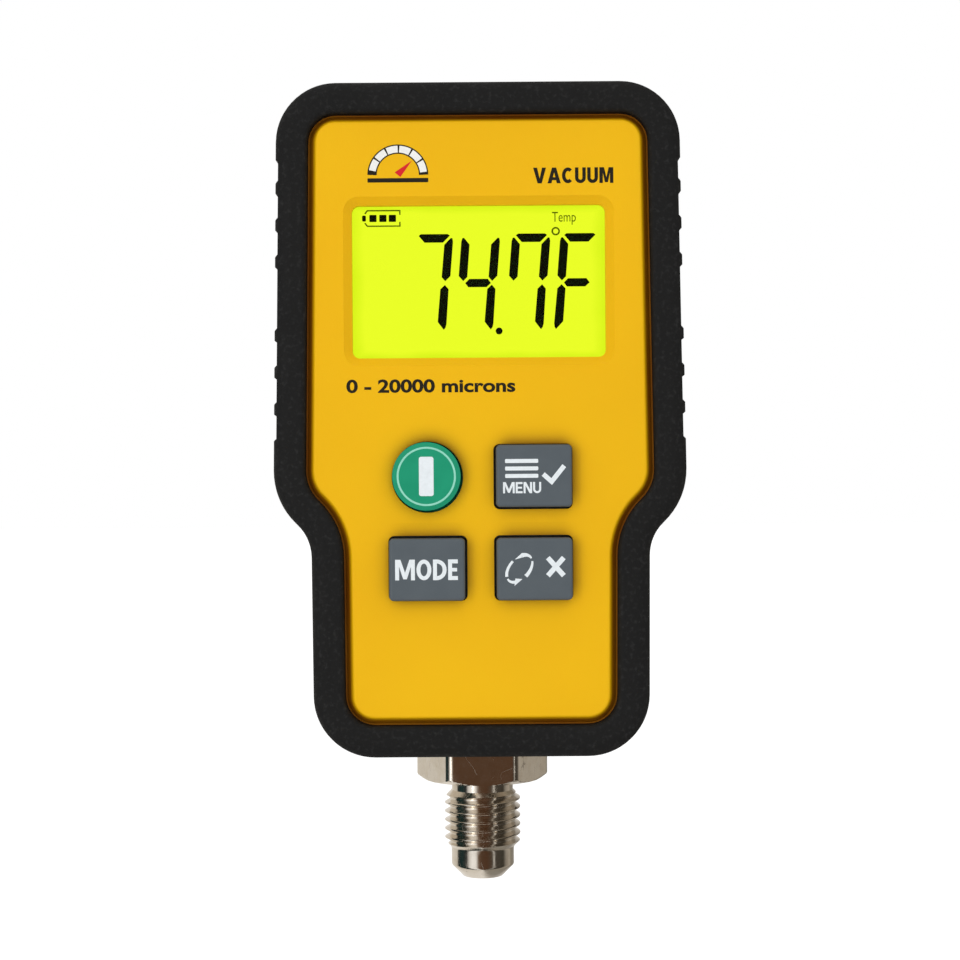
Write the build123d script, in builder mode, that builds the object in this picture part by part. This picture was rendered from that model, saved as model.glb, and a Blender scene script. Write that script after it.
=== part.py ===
from build123d import *
from math import radians, tan
import os

# Handset outline seen from the front, in millimetres. Heights run up from the tip of the port.
top_z = 114.05
bottom_z = 19.35
waist_high_z = 55.3
waist_low_z = 50.2
top_half_width = 28.25
waist_half_width = 29.03
grip_half_width = 23.77
bottom_half_width = 23.53
top_corner_radius = 8.45
bottom_corner_radius = 8.7
waist_outer_radius = 10.3
waist_inner_radius = 6.5

# Rubber boot
boot_half_depth = 16.0
boot_wall = 2.4
boot_lip = 2.3
boot_rim = 4.55
boot_edge_radius = 2.2
boot_lip_radius = 0.8
port_hole_radius = 10.3

# Grip ribs on both sides of the boot, with one left out in the middle
rib_middle_z = 83.75
rib_pitch = 5.16
rib_steps = (-3, -2, -1, 1, 2, 3)
rib_width = 1.3
rib_ramp = 0.35
rib_depth = 0.46
grip_low_z = 63.8
grip_high_z = 103.3

# Housing shells, which part at the middle of the depth
shell_depth = boot_half_depth - boot_lip
shell_wall = 2.0
face_rise = 1.5
face_foot_inset = 4.75
face_top_inset = 5.75
face_edge_radius = 0.4
face_depth = shell_depth + face_rise
cavity_inset = boot_wall + shell_wall
cavity_depth = shell_depth - shell_wall
pocket_inset = 7.1
pocket_depth = face_depth - shell_wall
tongue_insets = (3.0, 3.8)
tongue_height = 1.0
tongue_play = 0.1

# Screws of the housing and of the board, as (x, z) seen from the front
housing_screw_places = [(-19.9, 104.9), (19.9, 104.9), (-15.2, 29.0), (15.2, 29.0)]
housing_boss_radius = 2.7
housing_screw_radius = 1.25
housing_head_radius = 2.1
housing_head_y = 10.6
housing_screw_tip_y = -8.0
board_screw_places = [(-19.5, 64.8), (19.5, 64.8), (-14.6, 36.4), (14.6, 36.4), (0, 105.3)]
board_boss_radius = 2.3
board_screw_radius = 1.0
board_head_radius = 1.9
board_head_height = 1.4
board_screw_length = 5.0
screw_play = 0.05
screw_clearance = 0.15
board_hole_play = 0.1
boss_root = 0.2
slot_share = 1.2
slot_width = 0.45

# Display window and the parts stacked behind it
display_z = 86.05
window_width = 35.55
window_height = 21.4
window_radius = 1.05
window_bevel = 1.15
window_bevel_depth = 1.0
lens_size = (40.0, 25.8)
lens_thickness = 1.2
panel_size = (42.0, 30.0)
panel_thickness = 1.8
panel_ledge = 1.6
frame_size = (43.4, 31.2)
frame_play = 0.1
guide_size = (37.6, 24.4)
guide_thickness = 2.5
guide_chamfer = 0.6
strip_size = (38.0, 2.0)
strip_offset = 13.6
light_size = (1.6, 3.5)
light_thickness = 1.6
light_offset = 20.05
lens_back_y = -(pocket_depth - lens_thickness)
panel_back_y = lens_back_y + panel_thickness
board_front_y = panel_back_y + guide_thickness

# Keys: two columns and two rows
key_column_x = 7.48
key_high_z = 58.75
key_low_z = 45.8
key_size = (10.55, 8.65)
key_radius = 0.6
key_edge_radius = 0.45
key_flange_size = (12.6, 10.7)
power_key_radius = 4.75
power_flange_radius = 5.8
power_rim_width = 0.6
power_rim_drop = 0.3
key_gap = 0.24
opening_shift = 0.1
key_top_y = -17.2
key_flange_thickness = 0.9
key_stem_radius = 2.5
key_travel = 1.0
pill_radius = 2.0
pill_thickness = 0.4
pill_gap = 0.1

# Silicone keypad mat
mat_size = (29.2, 25.4)
mat_z = 52.3
mat_thickness = 1.0
collar_height = 1.7
collar_root_radius = 5.0
collar_tip_radius = 3.7
collar_wall = 0.6

# Main board and what is soldered to it
board_thickness = 1.6
board_inset = 5.2
board_bottom_z = 28.4
board_play = 0.5
board_notch_half_width = 8.0
board_notch_z = 34.0
board_back_y = board_front_y + board_thickness
controller_place = (0, 84.0)
controller_size = (10.0, 10.0)
controller_height = 1.4
crystal_place = (11.5, 84.0)
crystal_size = (3.2, 5.0)
crystal_height = 1.1
regulator_place = (-13.0, 62.0)
regulator_size = (6.5, 3.5)
regulator_height = 1.7
chip_edge = 0.2
capacitor_z = 74.5
capacitor_size = (1.6, 3.2)
capacitor_height = 1.1
capacitor_pitch = 5.0
capacitor_count = 5

# Battery bay and cells
bay_half_width = 15.3
bay_low_z = 46.8
bay_high_z = 104.2
bay_wall = 1.2
bay_floor_y = -1.5
cell_x = 7.6
cell_radius = 7.15
cell_length = 50.5
cell_low_z = 50.3
cell_y = 5.95
cell_edge = 0.3
nub_radius = 2.75
nub_height = 1.0

# Battery door
door_seat_y = 13.3
door_gap = 0.25
door_radius = 1.2
lug_half_width = 6.0
lug_low_z = 38.6
lug_screw_z = 42.2
lug_boss_radius = 2.8
lug_boss_y = 6.0
door_screw_radius = 1.2
door_head_radius = 2.2
door_head_height = 1.0
tab_x = 8.0
tab_width = 4.4
tab_thickness = 1.2
tab_reach = 1.2
grip_slots = 4
grip_slot_size = (15.5, 1.3)
grip_slot_pitch = 2.6
grip_slot_depth = 0.5
grip_drop = 10.3

# Battery contacts, stamped from strip
strip_thickness = 0.3
leaf_width = 5.0
leaf_plate_half = 5.0
leaf_foot_half = 2.5
leaf_tip_half = 1.0
leaf_bend = 0.2
tail_width = 2.0
tail_play = 0.2

# Flare fitting of the 1/4 inch size, thread 7/16-20
thread_radius = 5.556
thread_low_z = 4.36
thread_high_z = 11.7
thread_root_radius = 4.7
nose_radius = 4.595
nose_cone_z = 1.7
nose_tip_radius = 2.9
port_radius = 2.4
port_length = 23.6
neck_radius = 4.5
hex_flats = 17.0
hex_low_z = 14.5
hex_chamfer = 0.75
hex_chamfer_angle = 30
hex_chamfer_height = 3.75
shell_bottom_z = bottom_z + boot_wall
wall_top_z = shell_bottom_z + shell_wall
groove_radius = 6.0
flange_thickness = 2.5
flange_high_z = wall_top_z + flange_thickness
chamber_radius = 4.3
chamber_high_z = 28.6
socket_radius = 5.5
socket_wall = 1.0
fitting_high_z = 33.0

# Vacuum sensor in its socket
seal_height = 1.1
seal_inner_radius = 4.15
seal_outer_radius = 5.4
can_radius = 3.95
can_low_z = 25.0
header_radius = 5.2
header_height = 0.9
header_low_z = chamber_high_z + seal_height
header_high_z = header_low_z + header_height
pin_radius = 0.23
pin_circle_radius = 2.54
pin_count = 4
pin_start_angle = 45
sensor_pin_top_z = 36.0
retainer_radius = 5.4
retainer_bore_radius = 3.8
retainer_high_z = 32.8
retainer_slot = 1.2
sensor_board_z = 34.2
sensor_board_thickness = 1.0
sensor_board_size = (14.0, 12.4)
sensor_board_y = 0.3
sensor_board_top_z = sensor_board_z + sensor_board_thickness
header_block_size = (10.2, 2.5)
header_pin_pitch = 2.54
header_pin_half = 0.3
header_pin_reach = 1.6
header_pin_poke = 0.5
pin_hole_radius = 0.5


def front_plane(y):
    """Sketch plane that faces the front, at depth y."""
    return Plane.XZ.offset(-y)


def back_plane(y):
    """Sketch plane that faces the back, at depth y."""
    return Plane(origin=(0, y, 0), x_dir=(-1, 0, 0), z_dir=(0, 1, 0))


def body_outline(inset):
    """Outline of the handset, moved in by inset."""
    right_side = [
        (top_half_width, top_z),
        (waist_half_width, waist_high_z),
        (grip_half_width, waist_low_z),
        (bottom_half_width, bottom_z),
    ]
    left_side = [(-x, z) for x, z in reversed(right_side)]
    side_radii = [top_corner_radius, waist_outer_radius, waist_inner_radius, bottom_corner_radius]
    with BuildSketch() as outline:
        with BuildLine():
            FilletPolyline(*right_side, *left_side, radius=side_radii + side_radii[::-1], close=True)
        make_face()
        if inset > 0:
            offset(amount=-inset)
    return outline.sketch


def side_x(z):
    """Half width of the upper body at height z."""
    share = (z - waist_high_z) / (top_z - waist_high_z)
    return waist_half_width + share * (top_half_width - waist_half_width)


def key_outline(place, size, round_radius, grow):
    """One key's outline on the active sketch: round where a radius is given."""
    with Locations(place):
        if round_radius:
            Circle(round_radius + grow)
        else:
            RectangleRounded(size[0] + 2 * grow, size[1] + 2 * grow, key_radius + grow)


def opening_place(place):
    """Centre of a key's opening, which sits a little nearer to the middle of the four."""
    x, z = place
    shift_x = -opening_shift if x > 0 else opening_shift
    shift_z = -opening_shift if z > mat_z else opening_shift
    return (x + shift_x, z + shift_z)


def cross_slot(head_radius):
    """Screwdriver cross on the active sketch."""
    Rectangle(head_radius * slot_share, slot_width)
    Rectangle(slot_width, head_radius * slot_share)


key_places = {
    "power": (-key_column_x, key_high_z),
    "menu": (key_column_x, key_high_z),
    "mode": (-key_column_x, key_low_z),
    "scroll": (key_column_x, key_low_z),
}
key_names = list(key_places)


# The boot is one rubber moulding that wraps both shells, with a window at the front and the back
with BuildPart() as boot:
    with BuildSketch(front_plane(boot_half_depth)):
        add(body_outline(0))
    extrude(amount=2 * boot_half_depth)
    fillet(boot.faces().filter_by(Axis.Y).edges(), radius=boot_edge_radius)
    with BuildSketch(front_plane(shell_depth)):
        add(body_outline(boot_wall))
    extrude(amount=2 * shell_depth, mode=Mode.SUBTRACT)
    with BuildSketch(front_plane(boot_half_depth)):
        add(body_outline(boot_rim))
    extrude(amount=2 * boot_half_depth, mode=Mode.SUBTRACT)
    front_rim = boot.faces().sort_by(Axis.Y)[0]
    back_rim = boot.faces().sort_by(Axis.Y)[-1]
    fillet(front_rim.inner_wires()[0].edges() + back_rim.inner_wires()[0].edges(), radius=boot_lip_radius)
    # Grooves between the grip ribs
    with BuildSketch(front_plane(boot_half_depth)):
        groove_low_z = grip_low_z
        rib_heights = [rib_middle_z + step * rib_pitch for step in rib_steps]
        for rib_z in rib_heights + [grip_high_z + rib_width / 2]:
            groove_high_z = rib_z - rib_width / 2
            with BuildLine():
                Polyline(
                    (side_x(groove_low_z), groove_low_z),
                    (side_x(groove_low_z) - rib_depth, groove_low_z + rib_ramp),
                    (side_x(groove_high_z) - rib_depth, groove_high_z - rib_ramp),
                    (side_x(groove_high_z), groove_high_z),
                    (waist_half_width + rib_depth, groove_high_z),
                    (waist_half_width + rib_depth, groove_low_z),
                    close=True,
                )
            make_face()
            groove_low_z = rib_z + rib_width / 2
        mirror(about=Plane.YZ)
    extrude(amount=2 * boot_half_depth, mode=Mode.SUBTRACT)
    # Round hole that the hex of the port comes out of
    with BuildSketch(Plane.XY):
        Circle(port_hole_radius)
    extrude(amount=wall_top_z, mode=Mode.SUBTRACT)


# Front shell: raised face with sloped sides, display window and key openings
with BuildPart() as front_shell:
    with BuildSketch(front_plane(0)):
        add(body_outline(boot_wall))
    extrude(amount=shell_depth)
    with BuildSketch(front_plane(-shell_depth)):
        add(body_outline(face_foot_inset))
    with BuildSketch(front_plane(-face_depth)):
        add(body_outline(face_top_inset))
    loft(ruled=True)
    fillet(front_shell.faces().sort_by(Axis.Y)[0].edges(), radius=face_edge_radius)
    with BuildSketch(front_plane(0)):
        add(body_outline(cavity_inset))
    extrude(amount=cavity_depth, mode=Mode.SUBTRACT)
    with BuildSketch(front_plane(-cavity_depth)):
        add(body_outline(pocket_inset))
    extrude(amount=pocket_depth - cavity_depth, mode=Mode.SUBTRACT)
    # Bosses for the housing screws and for the board, rooted in the front wall
    with BuildSketch(front_plane(0)):
        with Locations(*housing_screw_places):
            Circle(housing_boss_radius)
    extrude(amount=pocket_depth + boss_root)
    with BuildSketch(front_plane(board_front_y)):
        with Locations(*board_screw_places):
            Circle(board_boss_radius)
    extrude(amount=pocket_depth + boss_root + board_front_y)
    with BuildSketch(front_plane(0)):
        with Locations(*housing_screw_places):
            Circle(housing_screw_radius + screw_play)
    extrude(amount=pocket_depth - shell_wall, mode=Mode.SUBTRACT)
    with BuildSketch(front_plane(board_front_y)):
        with Locations(*board_screw_places):
            Circle(board_screw_radius + screw_play)
    extrude(amount=board_screw_length - board_thickness, mode=Mode.SUBTRACT)
    # Rib that keeps the inner hex of the port from turning
    with BuildSketch(front_plane(-hex_flats / 2 - screw_play)):
        with Locations((0, (wall_top_z + flange_high_z) / 2)):
            Rectangle(groove_radius * 2, flange_high_z - wall_top_z)
    extrude(amount=pocket_depth + boss_root - hex_flats / 2 - screw_play)
    # Window with a bevel that leads down to the lens
    with BuildSketch(front_plane(-face_depth)):
        with Locations((0, display_z)):
            RectangleRounded(
                window_width + 2 * window_bevel,
                window_height + 2 * window_bevel,
                window_radius + window_bevel,
            )
    with BuildSketch(front_plane(-face_depth + window_bevel_depth)):
        with Locations((0, display_z)):
            RectangleRounded(window_width, window_height, window_radius)
    loft(ruled=True, mode=Mode.SUBTRACT)
    with BuildSketch(front_plane(-face_depth)):
        with Locations((0, display_z)):
            RectangleRounded(window_width, window_height, window_radius)
    extrude(amount=-shell_wall, mode=Mode.SUBTRACT)
    # Key openings
    with BuildSketch(front_plane(-face_depth)):
        for key_name, place in key_places.items():
            round_radius = power_key_radius if key_name == "power" else 0
            key_outline(opening_place(place), key_size, round_radius, key_gap)
    extrude(amount=-shell_wall, mode=Mode.SUBTRACT)
    # Groove for the tongue of the rear shell, and half of the hole for the port's neck
    with BuildSketch(front_plane(0)):
        add(body_outline(tongue_insets[0] - tongue_play))
        add(body_outline(tongue_insets[1] + tongue_play), mode=Mode.SUBTRACT)
    extrude(amount=tongue_height + tongue_play, mode=Mode.SUBTRACT)
    with BuildSketch(Plane.XY):
        Circle(groove_radius + screw_play)
    extrude(amount=wall_top_z, mode=Mode.SUBTRACT)


# Rear shell: battery bay, screw bosses and the seat of the door
with BuildPart() as rear_shell:
    with BuildSketch(back_plane(0)):
        add(body_outline(boot_wall))
    extrude(amount=shell_depth)
    with BuildSketch(back_plane(shell_depth)):
        add(body_outline(face_foot_inset))
    with BuildSketch(back_plane(face_depth)):
        add(body_outline(face_top_inset))
    loft(ruled=True)
    fillet(rear_shell.faces().sort_by(Axis.Y)[-1].edges(), radius=face_edge_radius)
    with BuildSketch(back_plane(0)):
        add(body_outline(cavity_inset))
    extrude(amount=cavity_depth, mode=Mode.SUBTRACT)
    with BuildSketch(back_plane(cavity_depth)):
        add(body_outline(pocket_inset))
    extrude(amount=pocket_depth - cavity_depth, mode=Mode.SUBTRACT)
    # Tongue that closes the parting line
    with BuildSketch(front_plane(0)):
        add(body_outline(tongue_insets[0]))
        add(body_outline(tongue_insets[1]), mode=Mode.SUBTRACT)
    extrude(amount=tongue_height)
    with BuildSketch(back_plane(0)):
        with Locations(*housing_screw_places):
            Circle(housing_boss_radius)
        with Locations((0, lug_screw_z)):
            Circle(lug_boss_radius)
    extrude(amount=pocket_depth + boss_root)
    with BuildSketch(back_plane(0)):
        with Locations((0, lug_screw_z)):
            Circle(lug_boss_radius)
    extrude(amount=lug_boss_y, mode=Mode.SUBTRACT)
    # Rib that keeps the inner hex of the port from turning
    with BuildSketch(back_plane(hex_flats / 2 + screw_play)):
        with Locations((0, (wall_top_z + flange_high_z) / 2)):
            Rectangle(groove_radius * 2, flange_high_z - wall_top_z)
    extrude(amount=pocket_depth + boss_root - hex_flats / 2 - screw_play)
    # Battery bay, open to the back
    bay_centre = (0, (bay_low_z + bay_high_z) / 2)
    bay_height = bay_high_z - bay_low_z
    with BuildSketch(back_plane(bay_floor_y - bay_wall)):
        with Locations(bay_centre):
            Rectangle(2 * (bay_half_width + bay_wall), bay_height + 2 * bay_wall)
    extrude(amount=pocket_depth + boss_root - bay_floor_y + bay_wall)
    with BuildSketch(back_plane(bay_floor_y)):
        with Locations(bay_centre):
            Rectangle(2 * bay_half_width, bay_height)
    extrude(amount=face_depth - bay_floor_y, mode=Mode.SUBTRACT)
    # Recess of the door and of its screw lug
    with BuildSketch(back_plane(door_seat_y)):
        with Locations(bay_centre):
            Rectangle(2 * (bay_half_width + bay_wall), bay_height + 2 * bay_wall)
        with Locations((0, (lug_low_z + bay_low_z) / 2)):
            Rectangle(2 * lug_half_width, bay_low_z - lug_low_z)
    extrude(amount=face_depth - door_seat_y, mode=Mode.SUBTRACT)
    # Slots for the door's tabs, in the top wall of the bay
    with BuildSketch(back_plane(door_seat_y - tab_thickness - 3 * door_gap)):
        with Locations((-tab_x, bay_high_z), (tab_x, bay_high_z)):
            Rectangle(tab_width + 2 * door_gap, 2 * bay_wall)
    extrude(amount=tab_thickness + 3 * door_gap, mode=Mode.SUBTRACT)
    # Slots for the tails of the two lower contacts, through the floor of the bay
    with BuildSketch(back_plane(bay_floor_y - bay_wall)):
        with Locations((-cell_x, bay_low_z), (cell_x, bay_low_z)):
            Rectangle(tail_width + 2 * tail_play, 2 * (strip_thickness + tail_play))
    extrude(amount=bay_wall, mode=Mode.SUBTRACT)
    # Screw holes, counterbored from the back
    with BuildSketch(back_plane(0)):
        with Locations(*housing_screw_places):
            Circle(housing_screw_radius + screw_clearance)
    extrude(amount=face_depth, mode=Mode.SUBTRACT)
    with BuildSketch(back_plane(housing_head_y)):
        with Locations(*housing_screw_places):
            Circle(housing_head_radius + screw_clearance)
    extrude(amount=face_depth - housing_head_y, mode=Mode.SUBTRACT)
    with BuildSketch(back_plane(lug_boss_y)):
        with Locations((0, lug_screw_z)):
            Circle(door_screw_radius + screw_play)
    extrude(amount=face_depth - lug_boss_y, mode=Mode.SUBTRACT)
    with BuildSketch(Plane.XY):
        Circle(groove_radius + screw_play)
    extrude(amount=wall_top_z, mode=Mode.SUBTRACT)


# Battery door with two tabs at the top, a screw lug at the bottom and finger grooves
with BuildPart() as battery_door:
    with BuildSketch(back_plane(door_seat_y)):
        with Locations(bay_centre):
            RectangleRounded(
                2 * (bay_half_width + bay_wall - door_gap),
                bay_height + 2 * (bay_wall - door_gap),
                door_radius,
            )
        with Locations((0, (lug_low_z + bay_low_z) / 2 + door_gap)):
            Rectangle(2 * (lug_half_width - door_gap), bay_low_z - lug_low_z)
    extrude(amount=face_depth - door_seat_y)
    with BuildSketch(back_plane(face_depth)):
        with Locations((0, bay_high_z - grip_drop)):
            with GridLocations(0, grip_slot_pitch, 1, grip_slots):
                SlotOverall(*grip_slot_size)
    extrude(amount=-grip_slot_depth, mode=Mode.SUBTRACT)
    tab_top_z = bay_high_z + bay_wall + tab_reach
    tab_foot_z = bay_high_z - tab_reach
    with BuildSketch(back_plane(door_seat_y - tab_thickness - door_gap)):
        with Locations((-tab_x, (tab_top_z + tab_foot_z) / 2), (tab_x, (tab_top_z + tab_foot_z) / 2)):
            Rectangle(tab_width, tab_top_z - tab_foot_z)
    extrude(amount=tab_thickness)
    with BuildSketch(back_plane(door_seat_y - tab_thickness - door_gap)):
        with Locations((-tab_x, bay_high_z - tab_reach), (tab_x, bay_high_z - tab_reach)):
            Rectangle(tab_width, tab_reach)
    extrude(amount=tab_thickness + 2 * door_gap)
    with BuildSketch(back_plane(door_seat_y)):
        with Locations((0, lug_screw_z)):
            Circle(door_screw_radius + screw_clearance)
    extrude(amount=face_depth - door_seat_y, mode=Mode.SUBTRACT)
    with BuildSketch(back_plane(face_depth - door_head_height - screw_play)):
        with Locations((0, lug_screw_z)):
            Circle(door_head_radius + screw_clearance)
    extrude(amount=door_head_height + screw_play, mode=Mode.SUBTRACT)


# Pan head screw of the battery door
with BuildPart() as battery_door_screw:
    with BuildSketch(back_plane(lug_boss_y + shell_wall)):
        with Locations((0, lug_screw_z)):
            Circle(door_screw_radius)
    extrude(amount=face_depth - door_head_height - screw_play - lug_boss_y - shell_wall)
    with BuildSketch(back_plane(face_depth - door_head_height - screw_play)):
        with Locations((0, lug_screw_z)):
            Circle(door_head_radius)
    extrude(amount=door_head_height)
    with BuildSketch(back_plane(face_depth - screw_play)):
        with Locations((0, lug_screw_z)):
            cross_slot(door_head_radius)
    extrude(amount=-door_head_height / 2, mode=Mode.SUBTRACT)


# Four long screws that hold the shells together
with BuildPart() as housing_screws:
    with BuildSketch(back_plane(housing_screw_tip_y)):
        with Locations(*housing_screw_places):
            Circle(housing_screw_radius)
    extrude(amount=housing_head_y - housing_screw_tip_y)
    with BuildSketch(back_plane(housing_head_y)):
        with Locations(*housing_screw_places):
            Circle(housing_head_radius)
    extrude(amount=shell_wall)
    with BuildSketch(back_plane(housing_head_y + shell_wall)):
        with Locations(*housing_screw_places):
            cross_slot(housing_head_radius)
    extrude(amount=-shell_wall / 2, mode=Mode.SUBTRACT)


# Clear lens on the inside of the window
with BuildPart() as display_lens:
    with BuildSketch(front_plane(lens_back_y)):
        with Locations((0, display_z)):
            RectangleRounded(*lens_size, window_radius)
    extrude(amount=lens_thickness)


# Glass panel: the front sheet is shorter than the rear one, which carries the contact ledges
with BuildPart() as lcd_panel:
    with BuildSketch(front_plane(panel_back_y)):
        with Locations((0, display_z)):
            Rectangle(*panel_size)
    extrude(amount=panel_thickness / 2)
    with BuildSketch(front_plane(panel_back_y - panel_thickness / 2)):
        with Locations((0, display_z)):
            Rectangle(panel_size[0], panel_size[1] - 2 * panel_ledge)
    extrude(amount=panel_thickness / 2)


# Frame that holds the panel and its light on the board
with BuildPart() as lcd_frame:
    with BuildSketch(front_plane(board_front_y)):
        with Locations((0, display_z)):
            RectangleRounded(*frame_size, window_radius)
            Rectangle(panel_size[0] + 2 * frame_play, panel_size[1] + 2 * frame_play, mode=Mode.SUBTRACT)
    extrude(amount=guide_thickness + panel_thickness / 2)


# Light guide behind the panel, lit from two lamps at its ends
with BuildPart() as backlight_guide:
    with BuildSketch(front_plane(board_front_y)):
        with Locations((0, display_z)):
            Rectangle(*guide_size)
    extrude(amount=guide_thickness)
    chamfer(backlight_guide.faces().sort_by(Axis.Y)[-1].edges(), length=guide_chamfer)

with BuildPart() as backlight_lamps:
    with BuildSketch(front_plane(board_front_y)):
        with Locations((-light_offset, display_z), (light_offset, display_z)):
            Rectangle(*light_size)
    extrude(amount=light_thickness)


# Elastic strips that join the panel's ledges to the board
zebra_strips = []
for side in (1, -1):
    with BuildPart() as zebra_strip:
        with BuildSketch(front_plane(board_front_y)):
            with Locations((0, display_z + side * strip_offset)):
                Rectangle(*strip_size)
        extrude(amount=guide_thickness)
    zebra_strips.append(zebra_strip)


# Main board, cut round the screw bosses and over the port
with BuildPart() as main_board:
    with BuildSketch(front_plane(board_back_y)):
        add(body_outline(board_inset))
        with Locations((0, board_bottom_z)):
            Rectangle(
                4 * bottom_half_width,
                2 * board_bottom_z,
                align=(Align.CENTER, Align.MAX),
                mode=Mode.SUBTRACT,
            )
        with Locations((0, board_notch_z)):
            Rectangle(
                2 * board_notch_half_width,
                board_notch_z,
                align=(Align.CENTER, Align.MAX),
                mode=Mode.SUBTRACT,
            )
        with Locations(*housing_screw_places):
            Circle(housing_boss_radius + board_play, mode=Mode.SUBTRACT)
        with Locations(*board_screw_places):
            Circle(board_screw_radius + board_hole_play, mode=Mode.SUBTRACT)
        with Locations((0, sensor_board_top_z + header_block_size[1] / 2)):
            with GridLocations(header_pin_pitch, 0, pin_count, 1):
                Circle(pin_hole_radius, mode=Mode.SUBTRACT)
    extrude(amount=board_thickness)


def board_chip(centre, size, height):
    """A flat package on the back of the board."""
    with BuildPart() as chip:
        with BuildSketch(back_plane(board_back_y)):
            with Locations(centre):
                Rectangle(*size)
        extrude(amount=height)
        chamfer(chip.faces().sort_by(Axis.Y)[-1].edges(), length=chip_edge)
    return chip


microcontroller = board_chip(controller_place, controller_size, controller_height)
crystal = board_chip(crystal_place, crystal_size, crystal_height)
voltage_regulator = board_chip(regulator_place, regulator_size, regulator_height)

with BuildPart() as chip_capacitors:
    with BuildSketch(back_plane(board_back_y)):
        with Locations((0, capacitor_z)):
            with GridLocations(capacitor_pitch, 0, capacitor_count, 1):
                Rectangle(*capacitor_size)
    extrude(amount=capacitor_height)

with BuildPart() as board_screws:
    with BuildSketch(front_plane(board_back_y)):
        with Locations(*board_screw_places):
            Circle(board_screw_radius)
    extrude(amount=board_screw_length)
    with BuildSketch(back_plane(board_back_y)):
        with Locations(*board_screw_places):
            Circle(board_head_radius)
    extrude(amount=board_head_height)
    with BuildSketch(back_plane(board_back_y + board_head_height)):
        with Locations(*board_screw_places):
            cross_slot(board_head_radius)
    extrude(amount=-board_head_height / 2, mode=Mode.SUBTRACT)


# Silicone mat with a conical collar round the stem of each key
mat_front_y = board_front_y - mat_thickness
with BuildPart() as keypad_mat:
    with BuildSketch(front_plane(board_front_y)):
        with Locations((0, mat_z)):
            RectangleRounded(*mat_size, window_radius)
    extrude(amount=mat_thickness)
    with Locations(front_plane(mat_front_y - collar_height / 2)):
        with Locations(*key_places.values()):
            Cone(collar_root_radius, collar_tip_radius, collar_height)
    with BuildSketch(front_plane(board_front_y)):
        with Locations(*key_places.values()):
            Circle(collar_root_radius - collar_wall)
    extrude(amount=mat_thickness, mode=Mode.SUBTRACT)
    with Locations(front_plane(mat_front_y - collar_height / 2)):
        with Locations(*key_places.values()):
            Cone(
                collar_root_radius - collar_wall,
                collar_tip_radius - collar_wall,
                collar_height,
                mode=Mode.SUBTRACT,
            )


# Keys: a cap, a flange that stays behind the front wall, and a stem that carries the carbon pill
pill_back_y = board_front_y - key_travel - pill_gap
flange_front_y = -pocket_depth + key_gap
keys = {}
pills = {}
for key_name, place in key_places.items():
    is_round = key_name == "power"
    with BuildPart() as key:
        with BuildSketch(front_plane(flange_front_y)):
            key_outline(place, key_size, power_key_radius if is_round else 0, 0)
        extrude(amount=flange_front_y - key_top_y)
        cap_edges = key.faces().sort_by(Axis.Y)[0].edges()
        if is_round:
            chamfer(cap_edges, length=power_rim_drop, length2=power_rim_width)
        else:
            fillet(cap_edges, radius=key_edge_radius)
        with BuildSketch(front_plane(flange_front_y + key_flange_thickness)):
            key_outline(place, key_flange_size, power_flange_radius if is_round else 0, 0)
        extrude(amount=key_flange_thickness)
        with BuildSketch(front_plane(pill_back_y - pill_thickness)):
            with Locations(place):
                Circle(key_stem_radius)
        extrude(amount=pill_back_y - pill_thickness - flange_front_y - key_flange_thickness)
    keys[key_name] = key
    with BuildPart() as pill:
        with BuildSketch(front_plane(pill_back_y)):
            with Locations(place):
                Circle(pill_radius)
        extrude(amount=pill_thickness)
    pills[key_name] = pill


# Two cells side by side, one up and one down
battery_cells = []
for x, nub_up in ((-cell_x, True), (cell_x, False)):
    with BuildPart() as cell:
        can_z = cell_low_z if nub_up else cell_low_z + nub_height
        with BuildSketch(Plane.XY.offset(can_z)):
            with Locations((x, cell_y)):
                Circle(cell_radius)
        extrude(amount=cell_length - nub_height)
        chamfer(cell.edges().filter_by(GeomType.CIRCLE), length=cell_edge)
        with BuildSketch(Plane.XY.offset(cell_low_z)):
            with Locations((x, cell_y)):
                Circle(nub_radius)
        extrude(amount=cell_length if nub_up else cell_length / 2)
    battery_cells.append(cell)


def contact_leaf(base_z, tip_z):
    """Side view of a stamped leaf: it leaves its plate, touches the cell and comes back."""
    strip = strip_thickness if tip_z > base_z else -strip_thickness
    with BuildSketch() as leaf:
        with BuildLine():
            Polyline(
                (cell_y - leaf_plate_half, base_z),
                (cell_y - leaf_plate_half, base_z + strip),
                (cell_y - leaf_foot_half, base_z + strip),
                (cell_y - leaf_tip_half, tip_z),
                (cell_y + leaf_tip_half, tip_z),
                (cell_y + leaf_foot_half, base_z + 3 * strip),
                (cell_y + leaf_foot_half, base_z + 2 * strip),
                (cell_y + leaf_tip_half - leaf_bend, tip_z - strip),
                (cell_y - leaf_tip_half + leaf_bend, tip_z - strip),
                (cell_y - leaf_foot_half + 2 * leaf_bend, base_z + strip),
                (cell_y + leaf_plate_half, base_z + strip),
                (cell_y + leaf_plate_half, base_z),
                close=True,
            )
        make_face()
    return leaf.sketch


lower_contacts = []
for x in (-cell_x, cell_x):
    with BuildPart() as contact:
        with BuildSketch(Plane.YZ.offset(x - leaf_width / 2)):
            add(contact_leaf(bay_low_z, cell_low_z))
        extrude(amount=leaf_width)
        with BuildSketch(Plane.XY.offset(bay_low_z)):
            with Locations((x, board_back_y)):
                Rectangle(tail_width, cell_y - board_back_y, align=(Align.CENTER, Align.MIN))
        extrude(amount=strip_thickness)
    lower_contacts.append(contact)

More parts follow.
